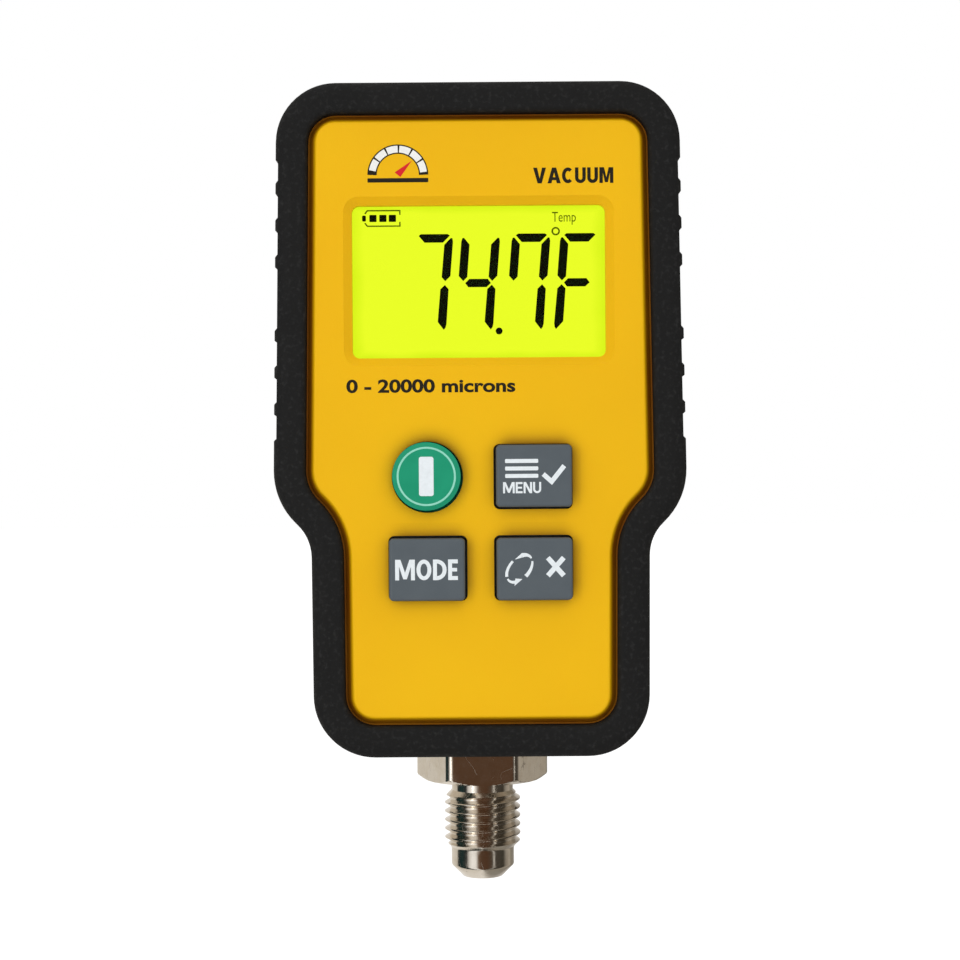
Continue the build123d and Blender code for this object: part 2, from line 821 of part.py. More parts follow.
with BuildPart() as battery_contact_bridge:
    for x in (-cell_x, cell_x):
        with BuildSketch(Plane.YZ.offset(x - leaf_width / 2)):
            add(contact_leaf(bay_high_z, cell_low_z + cell_length))
        extrude(amount=leaf_width)
    with BuildSketch(Plane.XY.offset(bay_high_z - strip_thickness)):
        with Locations((0, cell_y)):
            Rectangle(2 * (bay_half_width - tab_reach), leaf_width)
    extrude(amount=strip_thickness)


# Flare fitting: turned nose, thread, neck, outer and inner hex, and the socket of the sensor
with BuildPart() as flare_fitting:
    with BuildSketch(Plane.XZ):
        with BuildLine():
            Polyline(
                (port_radius, 0),
                (nose_tip_radius, 0),
                (nose_radius, nose_cone_z),
                (nose_radius, thread_low_z - (thread_root_radius - nose_radius)),
                (thread_root_radius, thread_low_z),
                (thread_radius, thread_low_z + thread_radius - thread_root_radius),
                (thread_radius, thread_high_z),
                (neck_radius, thread_high_z + thread_radius - neck_radius),
                (neck_radius, hex_low_z + hex_chamfer),
                (groove_radius, hex_low_z + hex_chamfer),
                (groove_radius, flange_high_z),
                (socket_radius + socket_wall, flange_high_z),
                (socket_radius + socket_wall, fitting_high_z),
                (socket_radius, fitting_high_z),
                (socket_radius, chamber_high_z),
                (chamber_radius, chamber_high_z),
                (chamber_radius, port_length),
                (port_radius, port_length),
                close=True,
            )
        make_face()
    revolve(axis=Axis.Z)
    for low_z, high_z in ((hex_low_z, shell_bottom_z), (wall_top_z, flange_high_z)):
        with BuildSketch(Plane.XY.offset(low_z)):
            RegularPolygon(hex_flats / 2, 6, major_radius=False)
            Circle(groove_radius - socket_wall, mode=Mode.SUBTRACT)
        extrude(amount=high_z - low_z)
    # The turned chamfer on the lower corners of the outer hex
    chamfer_foot = hex_flats / 2 - hex_chamfer / 2
    chamfer_run = hex_chamfer_height / tan(radians(hex_chamfer_angle))
    with BuildSketch(Plane.XZ):
        with BuildLine():
            Polyline(
                (chamfer_foot, hex_low_z),
                (hex_flats, hex_low_z),
                (hex_flats, hex_low_z + hex_chamfer_height),
                (chamfer_foot + chamfer_run, hex_low_z + hex_chamfer_height),
                close=True,
            )
        make_face()
    revolve(axis=Axis.Z, mode=Mode.SUBTRACT)


# Seal, sensor can with its pins, and the slotted ring that holds them down
with BuildPart() as sensor_seal:
    with BuildSketch(Plane.XZ):
        with Locations(((seal_inner_radius + seal_outer_radius) / 2, chamber_high_z + seal_height / 2)):
            Rectangle(seal_outer_radius - seal_inner_radius, seal_height)
    revolve(axis=Axis.Z)

with BuildPart() as vacuum_sensor:
    with BuildSketch(Plane.XY.offset(can_low_z)):
        Circle(can_radius)
    extrude(amount=header_low_z - can_low_z)
    with BuildSketch(Plane.XY.offset(can_low_z)):
        Circle(port_radius)
    extrude(amount=header_low_z - can_low_z - shell_wall, mode=Mode.SUBTRACT)
    with BuildSketch(Plane.XY.offset(header_low_z)):
        Circle(header_radius)
    extrude(amount=header_height)
    with BuildSketch(Plane.XY.offset(header_high_z)):
        with PolarLocations(pin_circle_radius, pin_count, start_angle=pin_start_angle):
            Circle(pin_radius)
    extrude(amount=sensor_pin_top_z - header_high_z)

with BuildPart() as sensor_retainer:
    with BuildSketch(Plane.XY.offset(header_high_z)):
        Circle(retainer_radius)
        Circle(retainer_bore_radius, mode=Mode.SUBTRACT)
    extrude(amount=retainer_high_z - header_high_z)
    with BuildSketch(Plane.XY.offset(retainer_high_z)):
        Rectangle(2 * socket_radius, retainer_slot)
    extrude(amount=-retainer_slot, mode=Mode.SUBTRACT)


# Small board on the sensor's pins, and the header that joins it to the main board
header_y = board_back_y + header_block_size[1] / 2
with BuildPart() as sensor_board:
    with BuildSketch(Plane.XY.offset(sensor_board_z)):
        with Locations((0, sensor_board_y)):
            Rectangle(*sensor_board_size)
        with PolarLocations(pin_circle_radius, pin_count, start_angle=pin_start_angle):
            Circle(pin_hole_radius, mode=Mode.SUBTRACT)
        with Locations((0, header_y)):
            with GridLocations(header_pin_pitch, 0, pin_count, 1):
                Circle(pin_hole_radius, mode=Mode.SUBTRACT)
    extrude(amount=sensor_board_thickness)

with BuildPart() as sensor_header:
    with BuildSketch(Plane.XY.offset(sensor_board_top_z)):
        with Locations((0, header_y)):
            Rectangle(*header_block_size)
    extrude(amount=header_block_size[1])
    with BuildSketch(Plane.XY.offset(sensor_board_top_z)):
        with Locations((0, header_y)):
            with GridLocations(header_pin_pitch, 0, pin_count, 1):
                Rectangle(2 * header_pin_half, 2 * header_pin_half)
    extrude(amount=-header_pin_reach)
    with BuildSketch(front_plane(board_back_y)):
        with Locations((0, sensor_board_top_z + header_block_size[1] / 2)):
            with GridLocations(header_pin_pitch, 0, pin_count, 1):
                Rectangle(2 * header_pin_half, 2 * header_pin_half)
    extrude(amount=board_thickness + header_pin_poke)


pieces = {
    "boot": boot,
    "front_shell": front_shell,
    "rear_shell": rear_shell,
    "battery_door": battery_door,
    "battery_door_screw": battery_door_screw,
    "housing_screws": housing_screws,
    "display_lens": display_lens,
    "lcd_panel": lcd_panel,
    "lcd_frame": lcd_frame,
    "backlight_guide": backlight_guide,
    "backlight_lamps": backlight_lamps,
    "zebra_strip_top": zebra_strips[0],
    "zebra_strip_bottom": zebra_strips[1],
    "main_board": main_board,
    "microcontroller": microcontroller,
    "crystal": crystal,
    "voltage_regulator": voltage_regulator,
    "chip_capacitors": chip_capacitors,
    "board_screws": board_screws,
    "keypad_mat": keypad_mat,
    "battery_cell_left": battery_cells[0],
    "battery_cell_right": battery_cells[1],
    "battery_contact_negative": lower_contacts[0],
    "battery_contact_positive": lower_contacts[1],
    "battery_contact_bridge": battery_contact_bridge,
    "flare_fitting": flare_fitting,
    "sensor_seal": sensor_seal,
    "vacuum_sensor": vacuum_sensor,
    "sensor_retainer": sensor_retainer,
    "sensor_board": sensor_board,
    "sensor_header": sensor_header,
}
for key_name in key_names:
    pieces[f"key_{key_name}"] = keys[key_name]
    pieces[f"contact_pill_{key_name}"] = pills[key_name]

os.makedirs("parts", exist_ok=True)
for piece_name, piece in pieces.items():
    piece.part.label = piece_name
    export_step(piece.part, f"parts/{piece_name}.step")
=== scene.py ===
import bpy
import bmesh
from math import pi, sin, cos, radians, hypot, sqrt
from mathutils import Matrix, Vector


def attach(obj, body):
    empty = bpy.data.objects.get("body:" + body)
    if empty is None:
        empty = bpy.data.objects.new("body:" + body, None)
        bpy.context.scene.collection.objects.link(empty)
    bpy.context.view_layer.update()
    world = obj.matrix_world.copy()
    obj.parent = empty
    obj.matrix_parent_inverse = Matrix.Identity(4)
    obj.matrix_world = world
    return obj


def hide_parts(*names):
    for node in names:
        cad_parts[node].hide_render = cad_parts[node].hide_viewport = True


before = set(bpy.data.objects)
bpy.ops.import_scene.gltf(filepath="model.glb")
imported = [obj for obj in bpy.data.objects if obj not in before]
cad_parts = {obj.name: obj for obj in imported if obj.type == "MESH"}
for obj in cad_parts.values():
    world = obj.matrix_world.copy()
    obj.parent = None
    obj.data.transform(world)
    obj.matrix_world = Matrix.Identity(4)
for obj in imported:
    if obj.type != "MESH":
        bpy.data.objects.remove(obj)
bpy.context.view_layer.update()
mm = 0.001
print("frame loaded:", len(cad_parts), "nodes")


# camera: straight in front of the case, close enough that the port is seen from above
view = {
    "frontPlane": 0.270,      # distance to the front of the boot, m
    "bootFront": -0.016,
    "side": -0.00003,
    "height": 0.0582,
    "lens": 72.7,
    "sensor": 36.0,
    "roll": 0.0072,           # the gauge leans a little in the picture
    "nearest": 0.01,
}


def makeCamera():
    data = bpy.data.cameras.new("camera")
    data.lens = view["lens"]
    data.sensor_width = view["sensor"]
    data.clip_start = view["nearest"]
    camera = bpy.data.objects.new("camera", data)
    camera.location = (view["side"], view["bootFront"] - view["frontPlane"], view["height"])
    camera.rotation_euler = (pi / 2, view["roll"], 0)
    bpy.context.collection.objects.link(camera)
    bpy.context.scene.camera = camera


makeCamera()


# small helpers shared by the materials
def srgb(r, g, b):
    def toLinear(c):
        c = c / 255
        return c / 12.92 if c <= 0.04045 else ((c + 0.055) / 1.055) ** 2.4
    return (toLinear(r), toLinear(g), toLinear(b), 1.0)


def startMaterial(name):
    material = bpy.data.materials.new(name)
    material.use_nodes = True
    tree = material.node_tree
    return material, tree, tree.nodes["Principled BSDF"]


def objectCoords(tree):
    return tree.nodes.new("ShaderNodeTexCoord").outputs["Object"]


def stretched(tree, coords, scale):
    mapping = tree.nodes.new("ShaderNodeMapping")
    mapping.inputs["Scale"].default_value = scale
    tree.links.new(coords, mapping.inputs["Vector"])
    return mapping.outputs["Vector"]


def noise(tree, coords, scale, detail=3.0, roughness=0.5):
    node = tree.nodes.new("ShaderNodeTexNoise")
    node.inputs["Scale"].default_value = scale
    node.inputs["Detail"].default_value = detail
    node.inputs["Roughness"].default_value = roughness
    tree.links.new(coords, node.inputs["Vector"])
    return node.outputs["Fac"]


# distance to the nearest of many scattered points
def cells(tree, coords, scale):
    node = tree.nodes.new("ShaderNodeTexVoronoi")
    node.inputs["Scale"].default_value = scale
    tree.links.new(coords, node.inputs["Vector"])
    return node.outputs["Distance"]


def remap(tree, value, fromLow, fromHigh, toLow, toHigh):
    node = tree.nodes.new("ShaderNodeMapRange")
    node.inputs["From Min"].default_value = fromLow
    node.inputs["From Max"].default_value = fromHigh
    node.inputs["To Min"].default_value = toLow
    node.inputs["To Max"].default_value = toHigh
    tree.links.new(value, node.inputs["Value"])
    return node.outputs["Result"]


def mathNode(tree, operation, a, b=None):
    node = tree.nodes.new("ShaderNodeMath")
    node.operation = operation
    for socket, value in zip(node.inputs, (a, b)):
        if value is None:
            continue
        if isinstance(value, (int, float)):
            socket.default_value = value
        else:
            tree.links.new(value, socket)
    return node.outputs["Value"]


def mixColours(tree, factor, first, second):
    node = tree.nodes.new("ShaderNodeMix")
    node.data_type = "RGBA"
    tree.links.new(factor, node.inputs["Factor"])
    colourSockets = [s for s in node.inputs if s.type == "RGBA"]
    for socket, value in zip(colourSockets, (first, second)):
        if isinstance(value, tuple):
            socket.default_value = value
        else:
            tree.links.new(value, socket)
    return [s for s in node.outputs if s.type == "RGBA"][0]


def splitCoords(tree, coords):
    node = tree.nodes.new("ShaderNodeSeparateXYZ")
    tree.links.new(coords, node.inputs["Vector"])
    return node.outputs


def bump(tree, bsdf, height, distance, strength):
    node = tree.nodes.new("ShaderNodeBump")
    node.inputs["Distance"].default_value = distance
    node.inputs["Strength"].default_value = strength
    tree.links.new(height, node.inputs["Height"])
    tree.links.new(node.outputs["Normal"], bsdf.inputs["Normal"])


# the same colour, a little darker
def darkened(colour, share):
    return tuple(c * share for c in colour[:3]) + (1.0,)


# materials
bootSettings = {
    "colour": srgb(30, 30, 30),
    "glintSpeck": srgb(46, 46, 46),
    "roughness": (0.62, 0.82),
    "grainScale": 1500,
    "pitScale": 1950,
    "mottleScale": 160,
    "grainDepth": 0.00007,
    "specular": 0.14,
}


def bootRubber():
    s = bootSettings
    material, tree, bsdf = startMaterial("boot_rubber")
    coords = objectCoords(tree)
    grain = noise(tree, coords, s["grainScale"], 4.0, 0.62)
    pits = cells(tree, coords, s["pitScale"])
    mottle = noise(tree, coords, s["mottleScale"], 2.0)
    height = mathNode(tree, "ADD", grain, mathNode(tree, "MULTIPLY", pits, 0.5))
    bump(tree, bsdf, height, s["grainDepth"], 0.9)
    # painted highlight: lighter specks on the grain's high points stand in for tiny glints on the rubber
    glintSpeck = remap(tree, grain, 0.52, 0.70, 0.0, 0.8)
    colour = mixColours(tree, glintSpeck, s["colour"], s["glintSpeck"])
    tree.links.new(colour, bsdf.inputs["Base Color"])
    rough = remap(tree, mottle, 0.3, 0.7, *s["roughness"])
    tree.links.new(rough, bsdf.inputs["Roughness"])
    bsdf.inputs["Specular IOR Level"].default_value = s["specular"]
    return material


shellSettings = {
    "colour": srgb(245, 190, 10),
    "shade": srgb(236, 178, 8),
    "roughness": (0.36, 0.46),
    "flowScale": 45,
    "rubScale": 260,
    "grainScale": 5200,
    "grainDepth": 0.000012,
    "specular": 0.16,
    "scatter": 0.06,
    "scatterRadius": (0.0012, 0.0006, 0.0002),
    # painted shade, brown, in the channel between the raised face and the boot, where the boot's lip shades
    # it
    "channelShade": srgb(146, 80, 4),
    "channelShadeDepth": (-15.08 * mm, -14.45 * mm),
    "channelShadeBack": -10.0 * mm,
    "windowCentre": 86.2 * mm,
    "windowHalf": (21.5 * mm, 15.5 * mm),
    "keysCentre": 52.3 * mm,
    "keysHalf": (14.6 * mm, 13.6 * mm),
    # painted shade round the keys, where the proud keys shade the face: each key's outline grown a little up
    # and to the right
    "keyShade": srgb(128, 78, 6),
    "columns": (7.78 * mm, -7.18 * mm),
    "rows": (46.3 * mm, 59.25 * mm),
    "keyHalf": (5.25 * mm, 4.3 * mm),
    "boxRound": 2.2 * mm,
    "roundKey": 4.7 * mm,
    "keyShadeReach": (3.0 * mm, -0.4 * mm),
    "keyShadeFade": 3.0,
    "keyShadeStrength": 0.84,
    "keyShadeBack": -14.5 * mm,
}


# distance from the middle, for two offsets at right angles
def lengthOf(tree, across, up):
    squares = [mathNode(tree, "MULTIPLY", side, side) for side in (across, up)]
    return mathNode(tree, "SQRT", mathNode(tree, "ADD", *squares))


# share of painted shade round the keys, 0 to 1, strongest at the edge of the nearest key
def paintedKeyShade(tree, place):
    s = shellSettings
    onLeft = mathNode(tree, "LESS_THAN", place["X"], 0.0)
    isHigh = mathNode(tree, "GREATER_THAN", place["Z"], s["keysCentre"])
    across = mathNode(tree, "SUBTRACT", place["X"], remap(tree, onLeft, 0.0, 1.0, *s["columns"]))
    up = mathNode(tree, "SUBTRACT", place["Z"], remap(tree, isHigh, 0.0, 1.0, *s["rows"]))
    beyond = []
    for offset, half in zip((across, up), s["keyHalf"]):
        past = mathNode(tree, "SUBTRACT", mathNode(tree, "ABSOLUTE", offset), half - s["boxRound"])
        beyond.append(mathNode(tree, "MAXIMUM", past, 0.0))
    fromBox = mathNode(tree, "SUBTRACT", lengthOf(tree, *beyond), s["boxRound"])
    fromRound = mathNode(tree, "SUBTRACT", lengthOf(tree, across, up), s["roundKey"])
    isRound = mathNode(tree, "MULTIPLY", onLeft, isHigh)
    change = mathNode(tree, "MULTIPLY", isRound, mathNode(tree, "SUBTRACT", fromRound, fromBox))
    near = remap(tree, mathNode(tree, "ADD", fromBox, change), *s["keyShadeReach"], 0.0, 1.0)
    near = mathNode(tree, "MULTIPLY", mathNode(tree, "POWER", near, s["keyShadeFade"]), s["keyShadeStrength"])
    return mathNode(tree, "MULTIPLY", near, mathNode(tree, "LESS_THAN", place["Y"], s["keyShadeBack"]))


def shellPlastic():
    s = shellSettings
    material, tree, bsdf = startMaterial("shell_plastic")
    coords = objectCoords(tree)
    place = splitCoords(tree, coords)
    flow = noise(tree, coords, s["flowScale"], 2.0)
    colour = mixColours(tree, remap(tree, flow, 0.3, 0.7, 0.0, 0.5), s["colour"], s["shade"])
    across = mathNode(tree, "ABSOLUTE", place["X"])

    def outside(centre, half):
        up = mathNode(tree, "ABSOLUTE", mathNode(tree, "SUBTRACT", place["Z"], centre))
        beyondX = mathNode(tree, "GREATER_THAN", across, half[0])
        beyondZ = mathNode(tree, "GREATER_THAN", up, half[1])
        return mathNode(tree, "MAXIMUM", beyondX, beyondZ)

    # painted shade: the deeper the surface lies in the channel, the browner it is painted; the window, the
    # keys and the back are left out, and the flow pattern weakens it a little at random
    channelShade = remap(tree, place["Y"], *s["channelShadeDepth"], 0.0, 1.0)
    for share in (
        outside(s["windowCentre"], s["windowHalf"]),
        outside(s["keysCentre"], s["keysHalf"]),
        mathNode(tree, "LESS_THAN", place["Y"], s["channelShadeBack"]),
        remap(tree, flow, 0.3, 0.7, 0.85, 1.0),
    ):
        channelShade = mathNode(tree, "MULTIPLY", channelShade, share)
    colour = mixColours(tree, channelShade, colour, s["channelShade"])
    # painted shade round the keys, brown, strongest at their edges
    colour = mixColours(tree, paintedKeyShade(tree, place), colour, s["keyShade"])
    tree.links.new(colour, bsdf.inputs["Base Color"])
    grain = noise(tree, coords, s["grainScale"], 3.0, 0.6)
    bump(tree, bsdf, grain, s["grainDepth"], 0.8)
    rub = noise(tree, coords, s["rubScale"], 4.0, 0.6)
    tree.links.new(remap(tree, rub, 0.3, 0.7, *s["roughness"]), bsdf.inputs["Roughness"])
    bsdf.inputs["Subsurface Weight"].default_value = s["scatter"]
    bsdf.inputs["Subsurface Radius"].default_value = s["scatterRadius"]
    bsdf.inputs["Subsurface Scale"].default_value = 1.0
    bsdf.inputs["Specular IOR Level"].default_value = s["specular"]
    return material


keySettings = {
    "grey": srgb(88, 96, 102),
    "greyWorn": srgb(98, 106, 111),
    "green": srgb(22, 150, 112),
    "greenWorn": srgb(34, 168, 128),
    "roughness": (0.42, 0.54),
    "patchScale": 300,
    "grainScale": 4200,
    "grainDepth": 0.000012,
    "specular": 0.2,
}


def keyPlastic(name, colour, worn):
    s = keySettings
    material, tree, bsdf = startMaterial(name)
    coords = objectCoords(tree)
    patch = noise(tree, coords, s["patchScale"], 3.0)
    tone = mixColours(tree, remap(tree, patch, 0.35, 0.75, 0.0, 0.35), colour, worn)
    tree.links.new(tone, bsdf.inputs["Base Color"])
    grain = noise(tree, coords, s["grainScale"], 3.0, 0.6)
    bump(tree, bsdf, grain, s["grainDepth"], 0.8)
    tree.links.new(remap(tree, patch, 0.3, 0.7, *s["roughness"]), bsdf.inputs["Roughness"])
    bsdf.inputs["Specular IOR Level"].default_value = s["specular"]
    return material


inkSettings = {
    "grainScale": 1600,
    "grainDepth": 0.000004,
    "thinned": 0.86,
}


def inkPrint(name, colour, roughness=0.5, specular=0.25):
    s = inkSettings
    material, tree, bsdf = startMaterial(name)
    thin = noise(tree, objectCoords(tree), s["grainScale"], 3.0, 0.6)
    tone = mixColours(tree, remap(tree, thin, 0.35, 0.75, 0.0, 0.6), colour, darkened(colour, s["thinned"]))
    tree.links.new(tone, bsdf.inputs["Base Color"])
    tree.links.new(remap(tree, thin, 0.3, 0.7, roughness - 0.05, roughness + 0.08), bsdf.inputs["Roughness"])
    bsdf.inputs["Specular IOR Level"].default_value = specular
    bump(tree, bsdf, thin, s["grainDepth"], 0.6)
    return material


displaySettings = {
    "middle": srgb(236, 255, 40),
    "edge": srgb(214, 243, 24),
    "unlit": (0.01, 0.012, 0.004, 1),
    "strength": 1.0,
    "halfWidth": 17.8 * mm,
    "halfHeight": 10.7 * mm,
    "centre": 86.05 * mm,
    "falloff": (0.9, 1.02),    # shares of the way from the middle to the edge
    "cloudScale": 90,
    "cloud": 0.04,
    "roughness": (0.25, 0.35),
}


def litDisplay():
    s = displaySettings
    material, tree, bsdf = startMaterial("lit_display")
    coords = objectCoords(tree)
    place = splitCoords(tree, coords)
    across = mathNode(tree, "DIVIDE", mathNode(tree, "ABSOLUTE", place["X"]), s["halfWidth"])
    up = mathNode(tree, "SUBTRACT", place["Z"], s["centre"])
    up = mathNode(tree, "DIVIDE", mathNode(tree, "ABSOLUTE", up), s["halfHeight"])
    cloud = noise(tree, coords, s["cloudScale"], 2.0)
    wander = remap(tree, cloud, 0.3, 0.7, -s["cloud"], s["cloud"])
    edge = mathNode(tree, "ADD", mathNode(tree, "MAXIMUM", across, up), wander)
    colour = mixColours(tree, remap(tree, edge, *s["falloff"], 0.0, 1.0), s["middle"], s["edge"])
    bsdf.inputs["Base Color"].default_value = s["unlit"]
    tree.links.new(colour, bsdf.inputs["Emission Color"])
    bsdf.inputs["Emission Strength"].default_value = s["strength"]
    tree.links.new(remap(tree, cloud, 0.3, 0.7, *s["roughness"]), bsdf.inputs["Roughness"])
    return material


lensSettings = {
    "colour": (0.97, 0.98, 0.97, 1),
    "ior": 1.49,
    "smearScale": 420,
    "smearStretch": (1, 1, 0.4),
    "roughness": (0.0, 0.006),
    "smearDepth": 0.0000002,
}


def clearLens():
    s = lensSettings
    material, tree, bsdf = startMaterial("clear_lens")
    smear = noise(tree, stretched(tree, objectCoords(tree), s["smearStretch"]), s["smearScale"], 4.0, 0.6)
    bsdf.inputs["Base Color"].default_value = s["colour"]
    bsdf.inputs["Transmission Weight"].default_value = 1.0
    bsdf.inputs["IOR"].default_value = s["ior"]
    tree.links.new(remap(tree, smear, 0.4, 0.8, *s["roughness"]), bsdf.inputs["Roughness"])
    bump(tree, bsdf, smear, s["smearDepth"], 0.3)
    return material


metalSettings = {
    "colour": (0.80, 0.745, 0.67, 1),
    "stain": (0.66, 0.58, 0.47, 1),
    "roughness": (0.09, 0.24),
    "stainScale": 420,
    "smudgeScale": 900,
    "scratchScale": 260,
    "scratchWidth": 0.006,
    "scratchBreakScale": 520,
    "scratchRoughness": 0.45,
    "turningScale": 9000,
    "turningStretch": (0.03, 0.03, 1),
    "turningShare": 0.25,
    "dentScale": 700,
    "dentShare": 0.5,
    "depth": 0.000008,
}


def platedBrass():
    s = metalSettings
    material, tree, bsdf = startMaterial("plated_brass")
    coords = objectCoords(tree)
    stain = noise(tree, coords, s["stainScale"], 5.0, 0.6)
    tone = mixColours(tree, remap(tree, stain, 0.45, 0.8, 0.0, 0.8), s["colour"], s["stain"])
    tree.links.new(tone, bsdf.inputs["Base Color"])
    bsdf.inputs["Metallic"].default_value = 1.0
    smudge = noise(tree, coords, s["smudgeScale"], 4.0, 0.6)
    rough = remap(tree, smudge, 0.35, 0.75, *s["roughness"])
    # fine scratches run where a wandering pattern passes its middle
    wander = noise(tree, stretched(tree, coords, (1, 1, 0.7)), s["scratchScale"], 1.0)
    scratch = mathNode(tree, "ABSOLUTE", mathNode(tree, "SUBTRACT", wander, 0.5))
    scratch = remap(tree, scratch, 0.0, s["scratchWidth"], 1.0, 0.0)
    broken = remap(tree, noise(tree, coords, s["scratchBreakScale"], 2.0), 0.48, 0.6, 0.0, 1.0)
    scratch = mathNode(tree, "MULTIPLY", scratch, broken)
    rough = mathNode(tree, "ADD", rough, mathNode(tree, "MULTIPLY", scratch, s["scratchRoughness"]))
    tree.links.new(rough, bsdf.inputs["Roughness"])
    turning = noise(tree, stretched(tree, coords, s["turningStretch"]), s["turningScale"], 2.0)
    turning = mathNode(tree, "MULTIPLY", turning, s["turningShare"])
    dents = remap(tree, cells(tree, coords, s["dentScale"]), 0.0, 0.12, 0.0, 1.0)
    dents = mathNode(tree, "MULTIPLY", dents, s["dentShare"])
    bump(tree, bsdf, mathNode(tree, "ADD", turning, dents), s["depth"], 0.7)
    return material


steelSettings = {
    "scuffScale": 1400,
    "scuffDepth": 0.00001,
    "scuffed": 0.7,
}


def steelFinish(name, colour, rough):
    s = steelSettings
    material, tree, bsdf = startMaterial(name)
    scuff = noise(tree, objectCoords(tree), s["scuffScale"], 4.0, 0.6)
    tone = mixColours(tree, remap(tree, scuff, 0.4, 0.8, 0.0, 0.8), colour, darkened(colour, s["scuffed"]))
    tree.links.new(tone, bsdf.inputs["Base Color"])
    bsdf.inputs["Metallic"].default_value = 1.0
    tree.links.new(remap(tree, scuff, 0.3, 0.7, rough - 0.08, rough + 0.12), bsdf.inputs["Roughness"])
    bump(tree, bsdf, scuff, s["scuffDepth"], 0.5)
    return material


plasticSettings = {
    "patchShare": 14,         # a patch of tone is that many grains wide
    "shaded": 0.82,
}


def mouldedPlastic(name, colour, rough, scale=2600, depth=0.00001):
    s = plasticSettings
    material, tree, bsdf = startMaterial(name)
    coords = objectCoords(tree)
    grain = noise(tree, coords, scale, 3.0, 0.6)
    patch = noise(tree, coords, scale / s["patchShare"], 2.0)
    tone = mixColours(tree, remap(tree, patch, 0.3, 0.7, 0.0, 0.7), colour, darkened(colour, s["shaded"]))
    tree.links.new(tone, bsdf.inputs["Base Color"])
    tree.links.new(remap(tree, patch, 0.3, 0.7, rough - 0.06, rough + 0.08), bsdf.inputs["Roughness"])
    bump(tree, bsdf, grain, depth, 0.8)
    return material


boardSettings = {
    "mask": srgb(20, 84, 48),
    "tracks": srgb(32, 110, 62),
    "trackScale": 260,
    "weaveScale": 600,
    "weaveShare": 0.3,
    "roughness": (0.28, 0.4),
    "depth": 0.00003,
}


def boardLaminate():
    s = boardSettings
    material, tree, bsdf = startMaterial("board_laminate")
    coords = objectCoords(tree)
    wave = tree.nodes.new("ShaderNodeTexWave")
    wave.inputs["Scale"].default_value = s["weaveScale"]
    wave.inputs["Distortion"].default_value = 0.6
    tree.links.new(coords, wave.inputs["Vector"])
    weave = wave.outputs["Fac"]
    tracks = remap(tree, cells(tree, coords, s["trackScale"]), 0.40, 0.44, 0.0, 1.0)
    tree.links.new(mixColours(tree, tracks, s["mask"], s["tracks"]), bsdf.inputs["Base Color"])
    tree.links.new(remap(tree, weave, 0.0, 1.0, *s["roughness"]), bsdf.inputs["Roughness"])
    height = mathNode(tree, "ADD", tracks, mathNode(tree, "MULTIPLY", weave, s["weaveShare"]))
    bump(tree, bsdf, height, s["depth"], 0.6)
    return material


finish = {
    "boot": bootRubber(),
    "shell": shellPlastic(),
    "greyKey": keyPlastic("grey_key", keySettings["grey"], keySettings["greyWorn"]),
    "greenKey": keyPlastic("green_key", keySettings["green"], keySettings["greenWorn"]),
    "display": litDisplay(),
    "lens": clearLens(),
    "brass": platedBrass(),
    "screw": steelFinish("screw_steel", (0.42, 0.42, 0.43, 1), 0.34),
    "nickel": steelFinish("contact_nickel", (0.66, 0.64, 0.60, 1), 0.28),
    "white": mouldedPlastic("white_plastic", srgb(226, 227, 223), 0.4),
    "silicone": mouldedPlastic("silicone", srgb(150, 155, 160), 0.55),
    "seal": mouldedPlastic("seal_rubber", srgb(28, 28, 28), 0.5),
    "carbon": mouldedPlastic("carbon", srgb(22, 22, 22), 0.7),
    "chip": mouldedPlastic("chip_plastic", srgb(26, 26, 28), 0.5),
    "ceramic": mouldedPlastic("capacitor_ceramic", srgb(150, 118, 84), 0.42),
    "sleeve": mouldedPlastic("cell_can", srgb(62, 68, 80), 0.26, 900, 0.000006),
    "board": boardLaminate(),
    "keyInk": inkPrint("key_ink", srgb(236, 243, 247)),
    "darkInk": inkPrint("dark_ink", srgb(38, 34, 22)),
    "ringInk": inkPrint("ring_ink", srgb(150, 222, 200)),
    "whiteInk": inkPrint("white_ink", srgb(246, 246, 242)),
    "redInk": inkPrint("red_ink", srgb(222, 30, 38)),
    "segment": inkPrint("display_segment", srgb(7, 24, 6), 0.35, 0.02),
    "faintSegment": inkPrint("display_faint_segment", srgb(112, 130, 6), 0.35, 0.02),
}

nodeFinish = {
    "boot": "boot", "front_shell": "shell", "rear_shell": "shell", "battery_door": "shell",
    "battery_door_screw": "screw", "housing_screws": "screw", "board_screws": "screw",
    "display_lens": "lens", "lcd_panel": "display", "lcd_frame": "white", "backlight_guide": "white",
    "backlight_lamps": "white", "zebra_strip_top": "silicone", "zebra_strip_bottom": "silicone",
    "keypad_mat": "silicone", "main_board": "board", "sensor_board": "board",
    "microcontroller": "chip", "voltage_regulator": "chip", "sensor_header": "chip",
    "crystal": "nickel", "chip_capacitors": "ceramic",
    "key_power": "greenKey", "key_menu": "greyKey", "key_mode": "greyKey", "key_scroll": "greyKey",
    "contact_pill_power": "carbon", "contact_pill_menu": "carbon",
    "contact_pill_mode": "carbon", "contact_pill_scroll": "carbon",
    "battery_cell_left": "sleeve", "battery_cell_right": "sleeve",
    "battery_contact_negative": "nickel", "battery_contact_positive": "nickel",
    "battery_contact_bridge": "nickel", "vacuum_sensor": "nickel",
    "sensor_seal": "seal", "sensor_retainer": "brass", "flare_fitting": "brass",
}
for nodeName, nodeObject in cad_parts.items():
    for materialSlot in nodeObject.material_slots:
        materialSlot.material = finish[nodeFinish[nodeName]]
print("materials on", len(nodeFinish), "nodes")


# a piece of its own, given in mm, that rides on a body of the frame
def addPiece(name, verts, faces, material, body):
    mesh = bpy.data.meshes.new(name)
    mesh.from_pydata([Vector(v) * mm for v in verts], [], faces)
    mesh.update()
    mesh.materials.append(finish[material])
    piece = bpy.data.objects.new(name, mesh)
    bpy.context.collection.objects.link(piece)
    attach(piece, body)
    return piece


